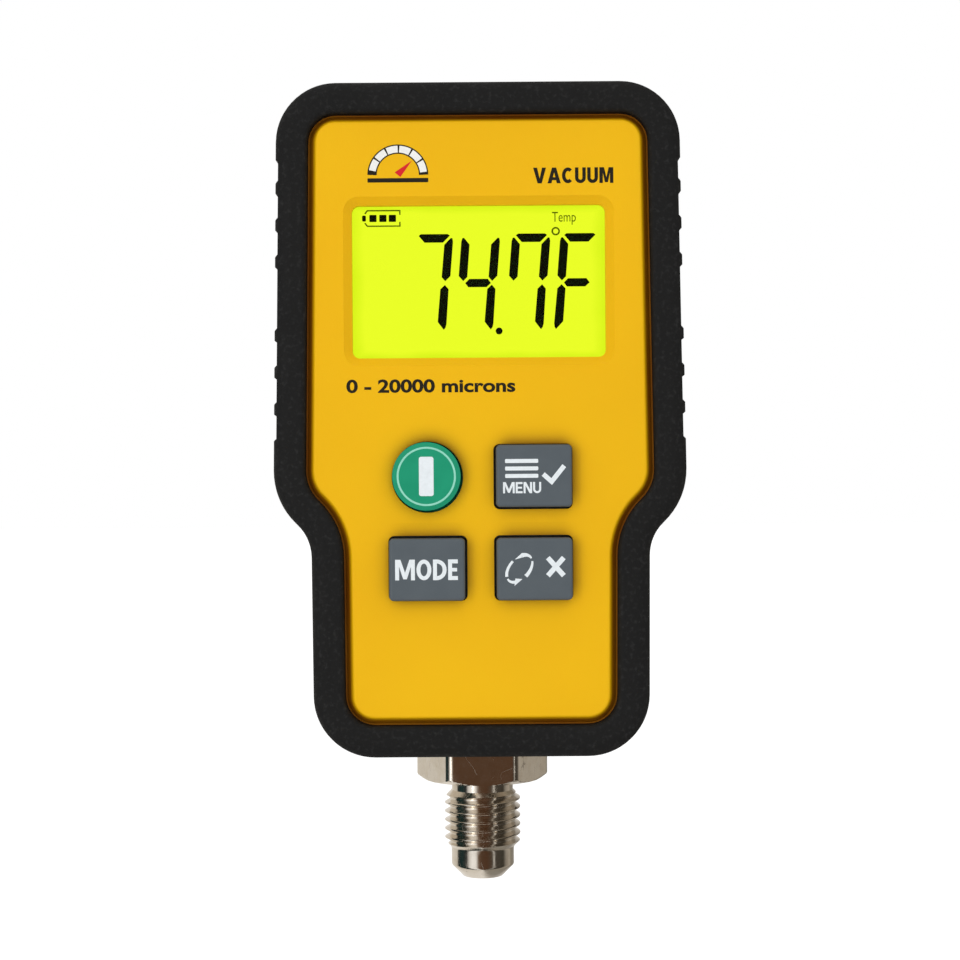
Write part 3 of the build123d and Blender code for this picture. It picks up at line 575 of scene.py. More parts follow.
# adds one closed prism whose outline runs counter-clockwise seen from the front
def plate(verts, faces, outline, y, thickness):
    start = len(verts)
    count = len(outline)
    verts.extend((x, y, z) for x, z in outline)
    verts.extend((x, y - thickness, z) for x, z in outline)
    faces.append([start + i for i in reversed(range(count))])
    faces.append([start + count + i for i in range(count)])
    for i in range(count):
        j = (i + 1) % count
        faces.append([start + i, start + j, start + count + j, start + count + i])


# closed prism of one or more outlines, as one piece
def addPlates(name, outlines, y, thickness, material, body):
    verts, faces = [], []
    for outline in outlines:
        plate(verts, faces, outline, y, thickness)
    addPiece(name, verts, faces, material, body)


def ringPlate(verts, faces, centre, outer, inner, y, thickness, steps):
    start = len(verts)
    for depth in (y, y - thickness):
        for radius in (outer, inner):
            for i in range(steps):
                angle = 2 * pi * i / steps
                verts.append((centre[0] + radius * cos(angle), depth, centre[1] + radius * sin(angle)))
    backOuter, backInner, frontOuter, frontInner = (start + steps * k for k in range(4))
    for i in range(steps):
        j = (i + 1) % steps
        faces.append([frontOuter + i, frontOuter + j, frontInner + j, frontInner + i])
        faces.append([backOuter + j, backOuter + i, backInner + i, backInner + j])
        faces.append([backOuter + i, backOuter + j, frontOuter + j, frontOuter + i])
        faces.append([backInner + j, backInner + i, frontInner + i, frontInner + j])


def roundedBox(centre, size, radius, steps=6):
    points = []
    halfX, halfZ = size[0] / 2 - radius, size[1] / 2 - radius
    for corner, (sx, sz) in enumerate(((1, 1), (-1, 1), (-1, -1), (1, -1))):
        for i in range(steps + 1):
            angle = pi / 2 * (corner + i / steps)
            points.append((
                centre[0] + sx * halfX + radius * cos(angle),
                centre[1] + sz * halfZ + radius * sin(angle),
            ))
    return points


mitreLimit = 0.3


# outline of a line of that width along the points, with mitred corners
def stroke(points, width):
    left, right = [], []
    for i, (x, z) in enumerate(points):
        before = points[max(i - 1, 0)]
        after = points[min(i + 1, len(points) - 1)]
        if i == 0:
            before = (2 * x - after[0], 2 * z - after[1])
        if i == len(points) - 1:
            after = (2 * x - before[0], 2 * z - before[1])
        a = Vector((x - before[0], z - before[1])).normalized()
        b = Vector((after[0] - x, after[1] - z)).normalized()
        along = (a + b).normalized()
        reach = width / 2 / max(along.dot(a), mitreLimit)
        left.append((x - along.y * reach, z + along.x * reach))
        right.append((x + along.y * reach, z - along.x * reach))
    return right + left[::-1]


# filled letter shapes of the built-in face, scaled to that box, as triangles in the plane
def words(text, width, height, bold=0.0):
    curve = bpy.data.curves.new("letters", "FONT")
    curve.body = text
    curve.offset = bold
    curve.resolution_u = 6
    letters = bpy.data.objects.new("letters", curve)
    bpy.context.collection.objects.link(letters)
    bpy.context.view_layer.update()
    graph = bpy.context.evaluated_depsgraph_get()
    mesh = bpy.data.meshes.new_from_object(letters.evaluated_get(graph))
    points = [tuple(v.co[:2]) for v in mesh.vertices]
    polygons = [list(p.vertices) for p in mesh.polygons]
    bpy.data.objects.remove(letters)
    bpy.data.curves.remove(curve)
    bpy.data.meshes.remove(mesh)
    lowX, highX = min(p[0] for p in points), max(p[0] for p in points)
    lowZ, highZ = min(p[1] for p in points), max(p[1] for p in points)
    scaleX, scaleZ = width / (highX - lowX), height / (highZ - lowZ)
    middleX, middleZ = (lowX + highX) / 2, (lowZ + highZ) / 2
    return [((x - middleX) * scaleX, (z - middleZ) * scaleZ) for x, z in points], polygons


# twice the area inside a ring of points, above 0 where it runs counter-clockwise
def turnOf(ring):
    return sum(ring[i - 1][0] * ring[i][1] - ring[i][0] * ring[i - 1][1] for i in range(len(ring)))


def counterClockwise(outline):
    return outline if turnOf(outline) > 0 else outline[::-1]


# closed prisms of a word in the built-in letters
def raiseWords(verts, faces, text, centre, width, height, y, thickness, bold=0.0):
    points, polygons = words(text, width, height, bold)
    start, count = len(verts), len(points)
    for depth in (y, y - thickness):
        verts.extend((centre[0] + x, depth, centre[1] + z) for x, z in points)
    edges = {}
    for polygon in polygons:
        if turnOf([points[i] for i in polygon]) < 0:
            polygon = polygon[::-1]
        faces.append([start + count + i for i in polygon])
        faces.append([start + i for i in reversed(polygon)])
        for k in range(len(polygon)):
            edges[(polygon[k - 1], polygon[k])] = True
    for a, b in edges:
        if (b, a) not in edges:
            faces.append([start + a, start + b, start + count + b, start + count + a])


# the reading on the display
readingSettings = {
    "panelFront": -12.0,
    "thickness": 0.03,
    "top": 92.94,
    "bottom": 79.43,
    "width": 5.45,
    "middle": 0.486,          # height of the middle segment, as a share
    "slant": 0.082,
    "stroke": 1.2,
    "lefts": (-8.96, -2.34, 4.76, 11.59),      # upper left corner of each figure
    "shapes": ("abc", "bcfg", "abcf", "aefg"),
    "point": (2.82, 79.21),
    "pointRadius": 0.49,
    "degree": (10.90, 93.24),
    "degreeRadii": (0.60, 0.37),
    "temp": (12.08, 95.04),
    "tempSize": (3.36, 1.83),
}


# points along a stretch of an upright ellipse, both ends included
def ovalPoints(centre, halfWidth, halfHeight, fromDegrees, toDegrees, steps):
    points = []
    for i in range(steps + 1):
        angle = radians(fromDegrees + (toDegrees - fromDegrees) * i / steps)
        points.append((centre[0] + halfWidth * cos(angle), centre[1] + halfHeight * sin(angle)))
    return points


def arcPoints(centre, radius, fromDegrees, toDegrees, steps):
    return ovalPoints(centre, radius, radius, fromDegrees, toDegrees, steps)


# outlines of the seven segments, s wide, in an upright box, with the slanted cuts between them
def segmentShapes(width, height, s):
    middle = height * readingSettings["middle"]
    top = [
        (0.45 * s, height - 0.2 * s), (0.7 * s, height), (width - 0.7 * s, height),
        (width - 0.42 * s, height - 0.18 * s), (width - 1.18 * s, height - s), (1.2 * s, height - s),
    ]
    centre = [
        (0.83 * s, middle), (1.27 * s, middle + 0.49 * s), (width - 1.1 * s, middle + 0.49 * s),
        (width - 0.69 * s, middle), (width - 1.16 * s, middle - 0.48 * s), (1.22 * s, middle - 0.48 * s),
    ]
    upperRight = [
        (width - 0.29 * s, height - 0.46 * s), (width - 0.1 * s, height - 0.5 * s), (width, height - 0.9 * s),
        (width, middle + 0.84 * s), (width - 0.57 * s, middle + 0.24 * s),
        (width - 1.02 * s, middle + 0.72 * s), (width - s, height - 1.26 * s),
    ]
    lowerRight = [
        (width - 0.57 * s, middle - 0.2 * s), (width - 0.1 * s, middle - 0.7 * s),
        (width - 0.04 * s, 0.67 * s), (width - 0.12 * s, 0.25 * s), (width - 0.31 * s, 0),
        (width - 1.09 * s, 0.92 * s), (width - 1.07 * s, middle - 0.7 * s),
    ]
    upperLeft = [(width - x, z) for x, z in upperRight]
    lowerLeft = [(width - x, z) for x, z in lowerRight]
    bottom = [(x, height - z) for x, z in top]
    shapes = (top, upperRight, lowerRight, bottom, lowerLeft, upperLeft, centre)
    return {name: counterClockwise(shape) for name, shape in zip("abcdefg", shapes)}


def makeReading():
    s = readingSettings
    height = s["top"] - s["bottom"]
    shapes = segmentShapes(s["width"], height, s["stroke"])
    outlines = []
    for left, lit in zip(s["lefts"], s["shapes"]):
        for name in lit:
            slanted = [(left + x - (height - z) * s["slant"], s["bottom"] + z) for x, z in shapes[name]]
            outlines.append(slanted)
    outlines.append(arcPoints(s["point"], s["pointRadius"], 0, 345, 23))
    y, thickness = s["panelFront"], s["thickness"]
    addPlates("display_reading", outlines, y, thickness, "segment", "housing")
    verts, faces = [], []
    ringPlate(verts, faces, s["degree"], *s["degreeRadii"], y, thickness, 40)
    raiseWords(verts, faces, "Temp", s["temp"], *s["tempSize"], y, thickness)
    addPiece("display_temp_word", verts, faces, "faintSegment", "housing")


chargeSettings = {
    "centre": 95.21,
    "bodyLeft": -15.72,
    "bodyRight": -11.07,
    "halfHeight": 1.09,
    "line": 0.19,
    "cap": (-16.135, 0.53, 0.84),              # middle, width and height
    "capRound": 0.16,
    "barMiddles": (-14.87, -13.47, -12.13),
    "bar": (1.02, 1.0),
    "barRound": 0.1,
    "cornerDrop": 0.6,
    "lip": ((-0.3, 0.45), (0.05, 0.0)),        # how the left ends of the outline turn in
}


def makeChargeMark():
    s = chargeSettings
    y, thickness = readingSettings["panelFront"], readingSettings["thickness"]
    z = s["centre"]
    bars = [roundedBox((s["cap"][0], z), s["cap"][1:], s["capRound"], 4)]
    bars += [roundedBox((x, z), s["bar"], s["barRound"], 4) for x in s["barMiddles"]]
    addPlates("display_charge_bars", bars, y, thickness, "segment", "housing")
    halves = []
    for side in (-1, 1):
        level = z + side * s["halfHeight"]
        line = [(s["bodyLeft"] + dx, level - side * dz) for dx, dz in s["lip"]]
        line += [(s["bodyRight"], level), (s["bodyRight"], level - side * s["cornerDrop"])]
        halves.append(counterClockwise(stroke(line, s["line"])))
    addPlates("display_charge_outline", halves, y, thickness, "faintSegment", "housing")


makeReading()
makeChargeMark()
print("display reading done")


# plain block letters for the keys and the face, in a box w wide and h high, with strokes t wide
# gives a letter's outline, and the outline of its hole or None
def blockLetter(name, w, h, t):
    if name == "M":
        return [(0, 0), (t, 0), (t, 0.66 * h), (w / 2 - 0.45 * t, 0.05 * h), (w / 2 + 0.45 * t, 0.05 * h),
                (w - t, 0.66 * h), (w - t, 0), (w, 0), (w, h), (w - 1.35 * t, h), (w / 2, 0.36 * h),
                (1.35 * t, h), (0, h)], None
    if name == "N":
        return [(0, 0), (t, 0), (t, 0.68 * h), (w - 1.25 * t, 0), (w, 0), (w, h), (w - t, h),
                (w - t, 0.32 * h), (1.25 * t, h), (0, h)], None
    if name == "E":
        low, high = (h - 0.9 * t) / 2, (h + 0.9 * t) / 2
        return [(0, 0), (w, 0), (w, t), (t, t), (t, low), (0.92 * w, low), (0.92 * w, high), (t, high),
                (t, h - t), (w, h - t), (w, h), (0, h)], None
    if name == "V":
        return [(w / 2 - 0.6 * t, 0), (w / 2 + 0.6 * t, 0), (w, h), (w - 1.15 * t, h), (w / 2, 0.3 * h),
                (1.15 * t, h), (0, h)], None
    if name == "A":
        low, high = 0.2 * h, 0.2 * h + 0.85 * t
        inner = (w / 2 - 1.15 * t) / (0.7 * h)
        rise = 1.15 * t + inner * high
        return [(0, 0), (1.15 * t, 0), (1.15 * t + inner * low, low), (w - 1.15 * t - inner * low, low),
                (w - 1.15 * t, 0), (w, 0), (w / 2 + 0.6 * t, h), (w / 2 - 0.6 * t, h)], \
               [(rise, high), (w - rise, high), (w / 2, 0.7 * h)]
    if name == "U":
        outer, inner = (arcPoints((w / 2, w / 2), radius, 180, 360, 16) for radius in (w / 2, w / 2 - t))
        return [(0, h)] + outer + [(w, h), (w - t, h)] + inner[::-1] + [(t, h)], None
    if name == "C":
        line = ovalPoints((w / 2, h / 2), (w - t) / 2 * 1.04, (h - t) / 2, 48, 312, 22)
        return counterClockwise(stroke(line, t)), None
    if name == "O":
        outer, inner = (ovalPoints((w / 2, h / 2), w / 2 - k, h / 2 - k, 0, 351, 39) for k in (0, t))
        return outer, inner
    if name == "D":
        def bowl(inset):
            r = min(w * 0.72, h / 2) - inset
            x, low, high = w - inset - r, inset + r, h - inset - r
            turns = arcPoints((x, low), r, -90, 0, 8) + arcPoints((x, high), r, 0, 90, 8)
            return [(inset, inset)] + turns + [(inset, h - inset)]
        return bowl(0), bowl(t)
    raise ValueError(name)


# closed prism of an outline with a hole in it: the outline is cut into a strip round the hole
def slab(verts, faces, outer, inner, y, thickness):
    if inner is None:
        plate(verts, faces, counterClockwise(outer), y, thickness)
        return
    outer, inner = counterClockwise(outer), counterClockwise(inner)
    if len(outer) == len(inner):
        pairs = [(i, i) for i in range(len(outer))]
    else:
        pairs = []
        for i, (x, z) in enumerate(outer):
            pairs.append((i, min(range(len(inner)), key=lambda k: hypot(inner[k][0] - x, inner[k][1] - z))))
    start = len(verts)
    count, holes = len(outer), len(inner)
    for depth in (y, y - thickness):
        verts.extend((x, depth, z) for x, z in outer)
        verts.extend((x, depth, z) for x, z in inner)
    front = start + count + holes
    for n, (i, k) in enumerate(pairs):
        j, m = pairs[(n + 1) % len(pairs)]
        steps = [k]
        while steps[-1] != m:
            steps.append((steps[-1] + 1) % holes)
        ring = [i, j] + [count + s for s in reversed(steps)]
        faces.append([front + v for v in ring])
        faces.append([start + v for v in reversed(ring)])
    for base, size in ((0, count), (count, holes)):
        for i in range(size):
            a, b = base + i, base + (i + 1) % size
            wall = [start + a, start + b, front + b, front + a]
            faces.append(wall if base == 0 else wall[::-1])


# letters is a list of name and width; the word is centred on that place
def blockWord(verts, faces, letters, centre, height, weight, gap, y, thickness):
    total = sum(width for name, width in letters) + gap * (len(letters) - 1)
    x, z = centre[0] - total / 2, centre[1] - height / 2
    for name, width in letters:
        outer, inner = blockLetter(name, width, height, weight)
        outer = [(x + px, z + pz) for px, pz in outer]
        inner = inner and [(x + px, z + pz) for px, pz in inner]
        slab(verts, faces, outer, inner, y, thickness)
        x += width + gap


# prints on the yellow face, in the places where such gauges carry theirs
facePrint = {
    "face": -15.2,
    "thickness": 0.01,
    "dial": (-11.2, 100.9),
    "dialRadius": 3.6,
    "rimWidth": 1.3,
    "base": (0.75, 0.6),      # how far under the dial's centre, and its height
    "baseRound": 0.1,
    "marks": range(6, 170, 28),
    "markSweep": 24.5,
    "markWidth": 0.95,
    "handFoot": ((-0.45, 0.35), (0.35, -0.3)),
    "handTip": 0.55,          # share of the dial's radius, across and up
    "unit": (13.3, 100.67),
    "unitLetters": (("V", 1.8), ("A", 1.85), ("C", 1.6), ("U", 1.5), ("U", 1.5), ("M", 1.95)),
    "unitHeight": 2.2,
    "unitWeight": 0.48,
    "unitGap": 0.2,
    "range": (-6.8, 71.4),
    "rangeSize": (23.6, 1.9),
    "rangeBold": 0.03,
}


def makeFacePrint():
    s = facePrint
    y, thickness = s["face"], s["thickness"]
    verts, faces = [], []
    letters = (s["unitLetters"], s["unit"], s["unitHeight"], s["unitWeight"], s["unitGap"])
    blockWord(verts, faces, *letters, y, thickness)
    addPiece("face_unit_word", verts, faces, "darkInk", "housing")
    verts, faces = [], []
    raiseWords(verts, faces, "0 - 20000 microns", s["range"], *s["rangeSize"], y, thickness, s["rangeBold"])
    addPiece("face_range_words", verts, faces, "darkInk", "housing")
    (x, z), radius = s["dial"], s["dialRadius"]
    rim = counterClockwise(stroke(arcPoints((x, z), radius, 0, 180, 40), s["rimWidth"]))
    baseSize = (2 * radius + s["rimWidth"], s["base"][1])
    base = roundedBox((x, z - s["base"][0]), baseSize, s["baseRound"], 3)
    addPlates("face_dial_rim", [rim, base], y, thickness, "darkInk", "housing")
    marks = []
    for start in s["marks"]:
        line = arcPoints((x, z), radius, start, start + s["markSweep"], 8)
        marks.append(counterClockwise(stroke(line, s["markWidth"])))
    addPlates("face_dial_marks", marks, y - thickness, thickness, "whiteInk", "housing")
    tip = radius * s["handTip"]
    hand = counterClockwise([(x + dx, z + dz) for dx, dz in s["handFoot"] + ((tip, tip),)])
    addPlates("face_dial_hand", [hand], y, thickness, "redInk", "housing")


makeFacePrint()


# prints on the keys
keyPrint = {
    "top": -17.2,
    "thickness": 0.01,
    "column": 7.48,
    "highRow": 58.75,
    "lowRow": 45.8,
    "ring": (4.11, 3.84),
    "bar": (2.03, 5.45),
    "barRadius": 0.32,
    "listLeft": -1.72,
    "listRows": (2.05, 1.01, -0.02),
    "listBarSize": (4.6, 0.55),
    "listBarRound": 0.14,
    "menuWord": (-1.68, -1.65),
    "menuLetters": (("M", 1.62), ("E", 0.95), ("N", 1.18), ("U", 1.12)),
    "menuHeight": 1.55,
    "menuWeight": 0.28,
    "menuGap": 0.14,
    "tick": ((1.26, 0.21), (2.43, -0.83), (4.19, 1.36)),
    "tickWidth": 0.66,
    "modeWord": (-0.06, -0.01),
    "modeLetters": (("M", 2.74), ("O", 2.07), ("D", 1.88), ("E", 1.35)),
    "modeHeight": 2.86,
    "modeWeight": 0.55,
    "modeGap": 0.22,
    "cross": (2.92, 0.31),
    "crossHalf": (1.1, 1.25),
    "crossWidth": 0.7,
    "cycle": (-2.12, 0.08),
    "cycleAxes": (2.22, 1.36),
    "cycleTilt": 48.7,
    "cycleSteps": 14,
    # each stretch of the arrows: from and to angle, width at both ends
    "cycleLines": (
        (86, 155, 0.34, 0.42), (-29, -96, 0.26, 0.54), (-13, 44, 0.24, 0.62), (167, 216, 0.24, 0.45),
    ),
    # arrow heads: angle of the base and of the tip, half width
    "cycleHeads": ((44, 77, 0.30), (214, 248, 0.52)),
}


# outline of a line that goes from one width to another along the points
def taperedStroke(points, startWidth, endWidth):
    left, right = [], []
    last = len(points) - 1
    for i, (x, z) in enumerate(points):
        before, after = points[max(i - 1, 0)], points[min(i + 1, last)]
        along = Vector((after[0] - before[0], after[1] - before[1])).normalized()
        reach = (startWidth + (endWidth - startWidth) * i / last) / 2
        left.append((x - along.y * reach, z + along.x * reach))
        right.append((x + along.y * reach, z - along.x * reach))
    return counterClockwise(right + left[::-1])


def makeKeyPrints():
    s = keyPrint
    y, t = s["top"], s["thickness"]
    power = (-s["column"], s["highRow"])
    menu = (s["column"], s["highRow"])
    mode = (-s["column"], s["lowRow"])
    scroll = (s["column"], s["lowRow"])

    verts, faces = [], []
    ringPlate(verts, faces, power, *s["ring"], y, t, 96)
    addPiece("key_power_ring", verts, faces, "ringInk", "power_button")
    bar = roundedBox(power, s["bar"], s["barRadius"])
    addPlates("key_power_print", [bar], y, t, "keyInk", "power_button")

    verts, faces = [], []
    for row in s["listRows"]:
        place = (menu[0] + s["listLeft"], menu[1] + row)
        plate(verts, faces, roundedBox(place, s["listBarSize"], s["listBarRound"], 4), y, t)
    place = (menu[0] + s["menuWord"][0], menu[1] + s["menuWord"][1])
    blockWord(verts, faces, s["menuLetters"], place, s["menuHeight"], s["menuWeight"], s["menuGap"], y, t)
    tick = stroke([(menu[0] + dx, menu[1] + dz) for dx, dz in s["tick"]], s["tickWidth"])
    plate(verts, faces, counterClockwise(tick), y, t)
    addPiece("key_menu_print", verts, faces, "keyInk", "menu_button")

    verts, faces = [], []
    place = (mode[0] + s["modeWord"][0], mode[1] + s["modeWord"][1])
    blockWord(verts, faces, s["modeLetters"], place, s["modeHeight"], s["modeWeight"], s["modeGap"], y, t)
    addPiece("key_mode_print", verts, faces, "keyInk", "mode_button")

    verts, faces = [], []
    cross = (scroll[0] + s["cross"][0], scroll[1] + s["cross"][1])
    plate(verts, faces, crossOutline(cross, s["crossHalf"], s["crossWidth"]), y, t)
    centre = (scroll[0] + s["cycle"][0], scroll[1] + s["cycle"][1])
    tilt = radians(s["cycleTilt"])

    def onCycle(degrees, grow=0.0):
        u = (s["cycleAxes"][0] + grow) * cos(radians(degrees))
        v = (s["cycleAxes"][1] + grow) * sin(radians(degrees))
        return (centre[0] + u * cos(tilt) - v * sin(tilt), centre[1] + u * sin(tilt) + v * cos(tilt))

    for start, end, startWidth, endWidth in s["cycleLines"]:
        line = [onCycle(start + (end - start) * i / s["cycleSteps"]) for i in range(s["cycleSteps"] + 1)]
        plate(verts, faces, taperedStroke(line, startWidth, endWidth), y, t)
    for base, tip, half in s["cycleHeads"]:
        head = [onCycle(base, half), onCycle(tip), onCycle(base, -half)]
        plate(verts, faces, counterClockwise(head), y - t / 2, t)
    addPiece("key_scroll_print", verts, faces, "keyInk", "scroll_button")


# outline of a diagonal cross as one ring of twelve points
def crossOutline(centre, half, width):
    length = hypot(*half)
    ux, uz = half[0] / length, half[1] / length
    w = width / 2
    points = []
    for sx, sz in ((1, 1), (-1, 1), (-1, -1), (1, -1)):
        isRising = sx * sz > 0
        tip = (sx * half[0], sz * half[1])
        a = (tip[0] + sx * uz * w, tip[1] - sz * ux * w)
        b = (tip[0] - sx * uz * w, tip[1] + sz * ux * w)
        points += [a, b] if isRising else [b, a]
        points.append((0, sz * w / ux) if isRising else (sx * w / uz, 0))      # notch before the next arm
    return counterClockwise([(centre[0] + x, centre[1] + z) for x, z in points])


makeKeyPrints()
print("prints done")


# the port: one turned body with a true helical thread, the two hexagons and the sensor socket
port = {
    "pitch": 1.27,
    "crest": 5.556,
    "root": 4.78,
    "threadLow": 4.36,
    "threadTop": 12.7,        # where the last turn has run out into the neck
    "leadIn": 0.1,
    "crestFlat": 0.07,
    "rowsPerTurn": 20,
    "around": 192,
    "noseRadius": 4.595,
    "noseCone": 1.7,
    "noseBend": 0.18,
    "noseRise": ((0.0, 0.32), (0.06, 0.08)),       # out from the nose, and down from the thread
    "tipRadius": 2.9,
    "tipBevel": ((-0.05, 0.0), (0.03, 0.04)),
    "bore": 2.4,
    "mouthBevel": 0.12,
    "boreEnd": 23.6,
    "neck": 4.5,
    "flats": 17.0,
    "hexCorner": 1.5,
    "cornerSteps": 12,
    "chamferStart": 0.02,
    "chamferSteps": (0.12, 0.25, 0.4, 0.55, 0.7, 0.8),
    "hexLow": 14.4,
    "hexHigh": 21.75,
    "groove": 6.0,
    "flangeLow": 23.75,
    "flangeHigh": 26.25,
    "chamber": 4.3,
    "chamberHigh": 28.6,
    "socket": 5.5,
    "boss": 6.5,
    "top": 33.0,
    "weld": 0.0000004,        # m
    "tiny": 0.0000002,
    "sharpAngle": 28,
}


# radius of the 60 degree thread, cut back to a cone at both of its ends
def threadRadius(z, phase):
    s = port
    away = min(phase, 1 - phase) * s["pitch"]
    depth = max(0.0, away - s["crestFlat"]) * sqrt(3)
    radius = max(s["root"], s["crest"] - depth)
    startCone = s["root"] - s["leadIn"] + (z - s["threadLow"])
    endCone = s["neck"] + (s["threadTop"] - z)
    return max(min(radius, startCone, endCone), s["neck"])


# point of the six-sided outline with rounded corners, and chamfered below if low is given
def hexPoint(j, low=None, z=0.0):
    s = port
    perSide = s["around"] // 6
    side, k = divmod(j, perSide)
    corner = pi / 3 * side
    reach = (s["flats"] / 2 - s["hexCorner"]) / cos(pi / 6)
    arc = s["cornerSteps"]
    if k <= arc:
        turn = corner + pi / 3 * (k / arc - 0.5)
        x = reach * cos(corner) + s["hexCorner"] * cos(turn)
        y = reach * sin(corner) + s["hexCorner"] * sin(turn)
    else:
        share = (k - arc) / (perSide - arc)
        middle = corner + pi / 6
        half = reach * sin(pi / 6) * (2 * share - 1)
        x = s["flats"] / 2 * cos(middle) - half * sin(middle)
        y = s["flats"] / 2 * sin(middle) + half * cos(middle)
    if low is not None:
        radius, limit = hypot(x, y), s["flats"] / 2 + s["chamferStart"] + (z - low) * sqrt(3)
        if radius > limit:
            x, y = x * limit / radius, y * limit / radius
    return x, y


# merges the doubled points where the thread meets its neighbours, and smooths all but sharp edges
def closeSeams(piece):
    mesh = bmesh.new()
    mesh.from_mesh(piece.data)
    bmesh.ops.remove_doubles(mesh, verts=mesh.verts, dist=port["weld"])
    bmesh.ops.dissolve_degenerate(mesh, edges=mesh.edges, dist=port["tiny"])
    bmesh.ops.recalc_face_normals(mesh, faces=mesh.faces)
    openEdges = sum(1 for e in mesh.edges if not e.is_manifold)
    mesh.to_mesh(piece.data)
    mesh.free()
    piece.data.shade_smooth()
    piece.data.set_sharp_from_angle(angle=radians(port["sharpAngle"]))
    print("port fitting:", len(piece.data.polygons), "faces, open edges", openEdges)


def makePort():
    s = port
    around = s["around"]
    turns = [(cos(2 * pi * j / around), sin(2 * pi * j / around)) for j in range(around)]
    rings = []          # each ring is a list of (x, y, z), from the top of the bore down and up the outside

    def plainRing(radius, z):
        rings.append([(radius * x, radius * y, z) for x, y in turns])

    def hexRing(z, low=None):
        rings.append([hexPoint(j, low, z) + (z,) for j in range(around)])

    # bore from the sensor chamber down to the mouth, then the nose
    plainRing(s["chamber"], s["chamberHigh"])
    plainRing(s["chamber"], s["boreEnd"])
    plainRing(s["bore"], s["boreEnd"])
    plainRing(s["bore"], s["mouthBevel"])
    plainRing(s["bore"] + s["mouthBevel"], 0.0)
    for out, up in s["tipBevel"]:
        plainRing(s["tipRadius"] + out, up)
    bend = s["noseBend"]
    plainRing(s["noseRadius"] - bend * 0.9, s["noseCone"] - bend * 0.9)
    plainRing(s["noseRadius"] - bend * 0.25, s["noseCone"] - bend * 0.1)
    plainRing(s["noseRadius"], s["noseCone"] + bend)
    for out, down in s["noseRise"]:
        plainRing(s["noseRadius"] + out, s["threadLow"] - down)
    plainRing(s["root"] - s["leadIn"], s["threadLow"])
    verts, faces = [], []

    def addRing(ring):
        verts.extend(ring)
        return len(verts) - around

    def join(first, second):
        for j in range(around):
            k = (j + 1) % around
            faces.append([first + j, first + k, second + k, second + j])

    starts = [addRing(ring) for ring in rings]
    for first, second in zip(starts, starts[1:]):
        join(first, second)
    # helical rows: a row climbs one pitch as it goes round, so its crests stay sharp
    n = s["rowsPerTurn"]
    total = int((s["threadTop"] - s["threadLow"]) / s["pitch"] * n) + 1
    index = {}
    for i in range(-n, total + 1):
        phase = ((s["threadLow"] + i * s["pitch"] / n) / s["pitch"]) % 1.0
        for j, (x, y) in enumerate(turns):
            z = s["threadLow"] + (i + n * j / around) * s["pitch"] / n
            z = min(max(z, s["threadLow"]), s["threadTop"])
            radius = threadRadius(z, phase)
            index[(i, j)] = len(verts)
            verts.append((radius * x, radius * y, z))
    for i in range(-n, total):
        for j in range(around):
            if j < around - 1:
                corners = [(i, j), (i, j + 1), (i + 1, j + 1), (i + 1, j)]
            elif i + n + 1 <= total:
                corners = [(i, j), (i + n, 0), (i + n + 1, 0), (i + 1, j)]
            else:
                continue
            heights = {round(verts[index[c]][2], 6) for c in corners}
            if len(heights) > 1:              # no flat face where the rows are cut level
                faces.append([index[c] for c in corners])
    rings.clear()
    plainRing(s["neck"], s["threadTop"])
    plainRing(s["neck"], s["hexLow"])
    hexRing(s["hexLow"], s["hexLow"])
    for step in s["chamferSteps"]:
        hexRing(s["hexLow"] + step, s["hexLow"])
    hexRing(s["hexHigh"])
    plainRing(s["groove"], s["hexHigh"])
    plainRing(s["groove"], s["flangeLow"])
    hexRing(s["flangeLow"])
    hexRing(s["flangeHigh"])
    plainRing(s["boss"], s["flangeHigh"])
    plainRing(s["boss"], s["top"])
    plainRing(s["socket"], s["top"])
    plainRing(s["socket"], s["chamberHigh"])
    upper = [addRing(ring) for ring in rings]
    for first, second in zip(upper, upper[1:]):
        join(first, second)
    join(upper[-1], starts[0])
    piece = addPiece("port_fitting", verts, faces, "brass", "housing")
    closeSeams(piece)
    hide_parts("flare_fitting")


makePort()


# stage: pale floor under the hanging port, white surroundings, soft lamps
stageSettings = {
    "floorHeight": -0.045,
    "floorSize": 8.0,
    "floorColour": (0.82, 0.82, 0.82, 1),
    "floorRoughness": 0.9,
    "floorLift": (0.40, 0.52),         # near the gauge and far behind it
    "floorLiftReach": (0.2, 1.4),
    "roomLight": 0.80,
}


# 1 for what the camera sees, straight, in metal or through glass
def cameraLikeRays(tree, path):
    value = mathNode(tree, "ADD", path["Is Camera Ray"], path["Is Glossy Ray"])
    value = mathNode(tree, "ADD", value, path["Is Transmission Ray"])
    return mathNode(tree, "MINIMUM", value, 1.0)


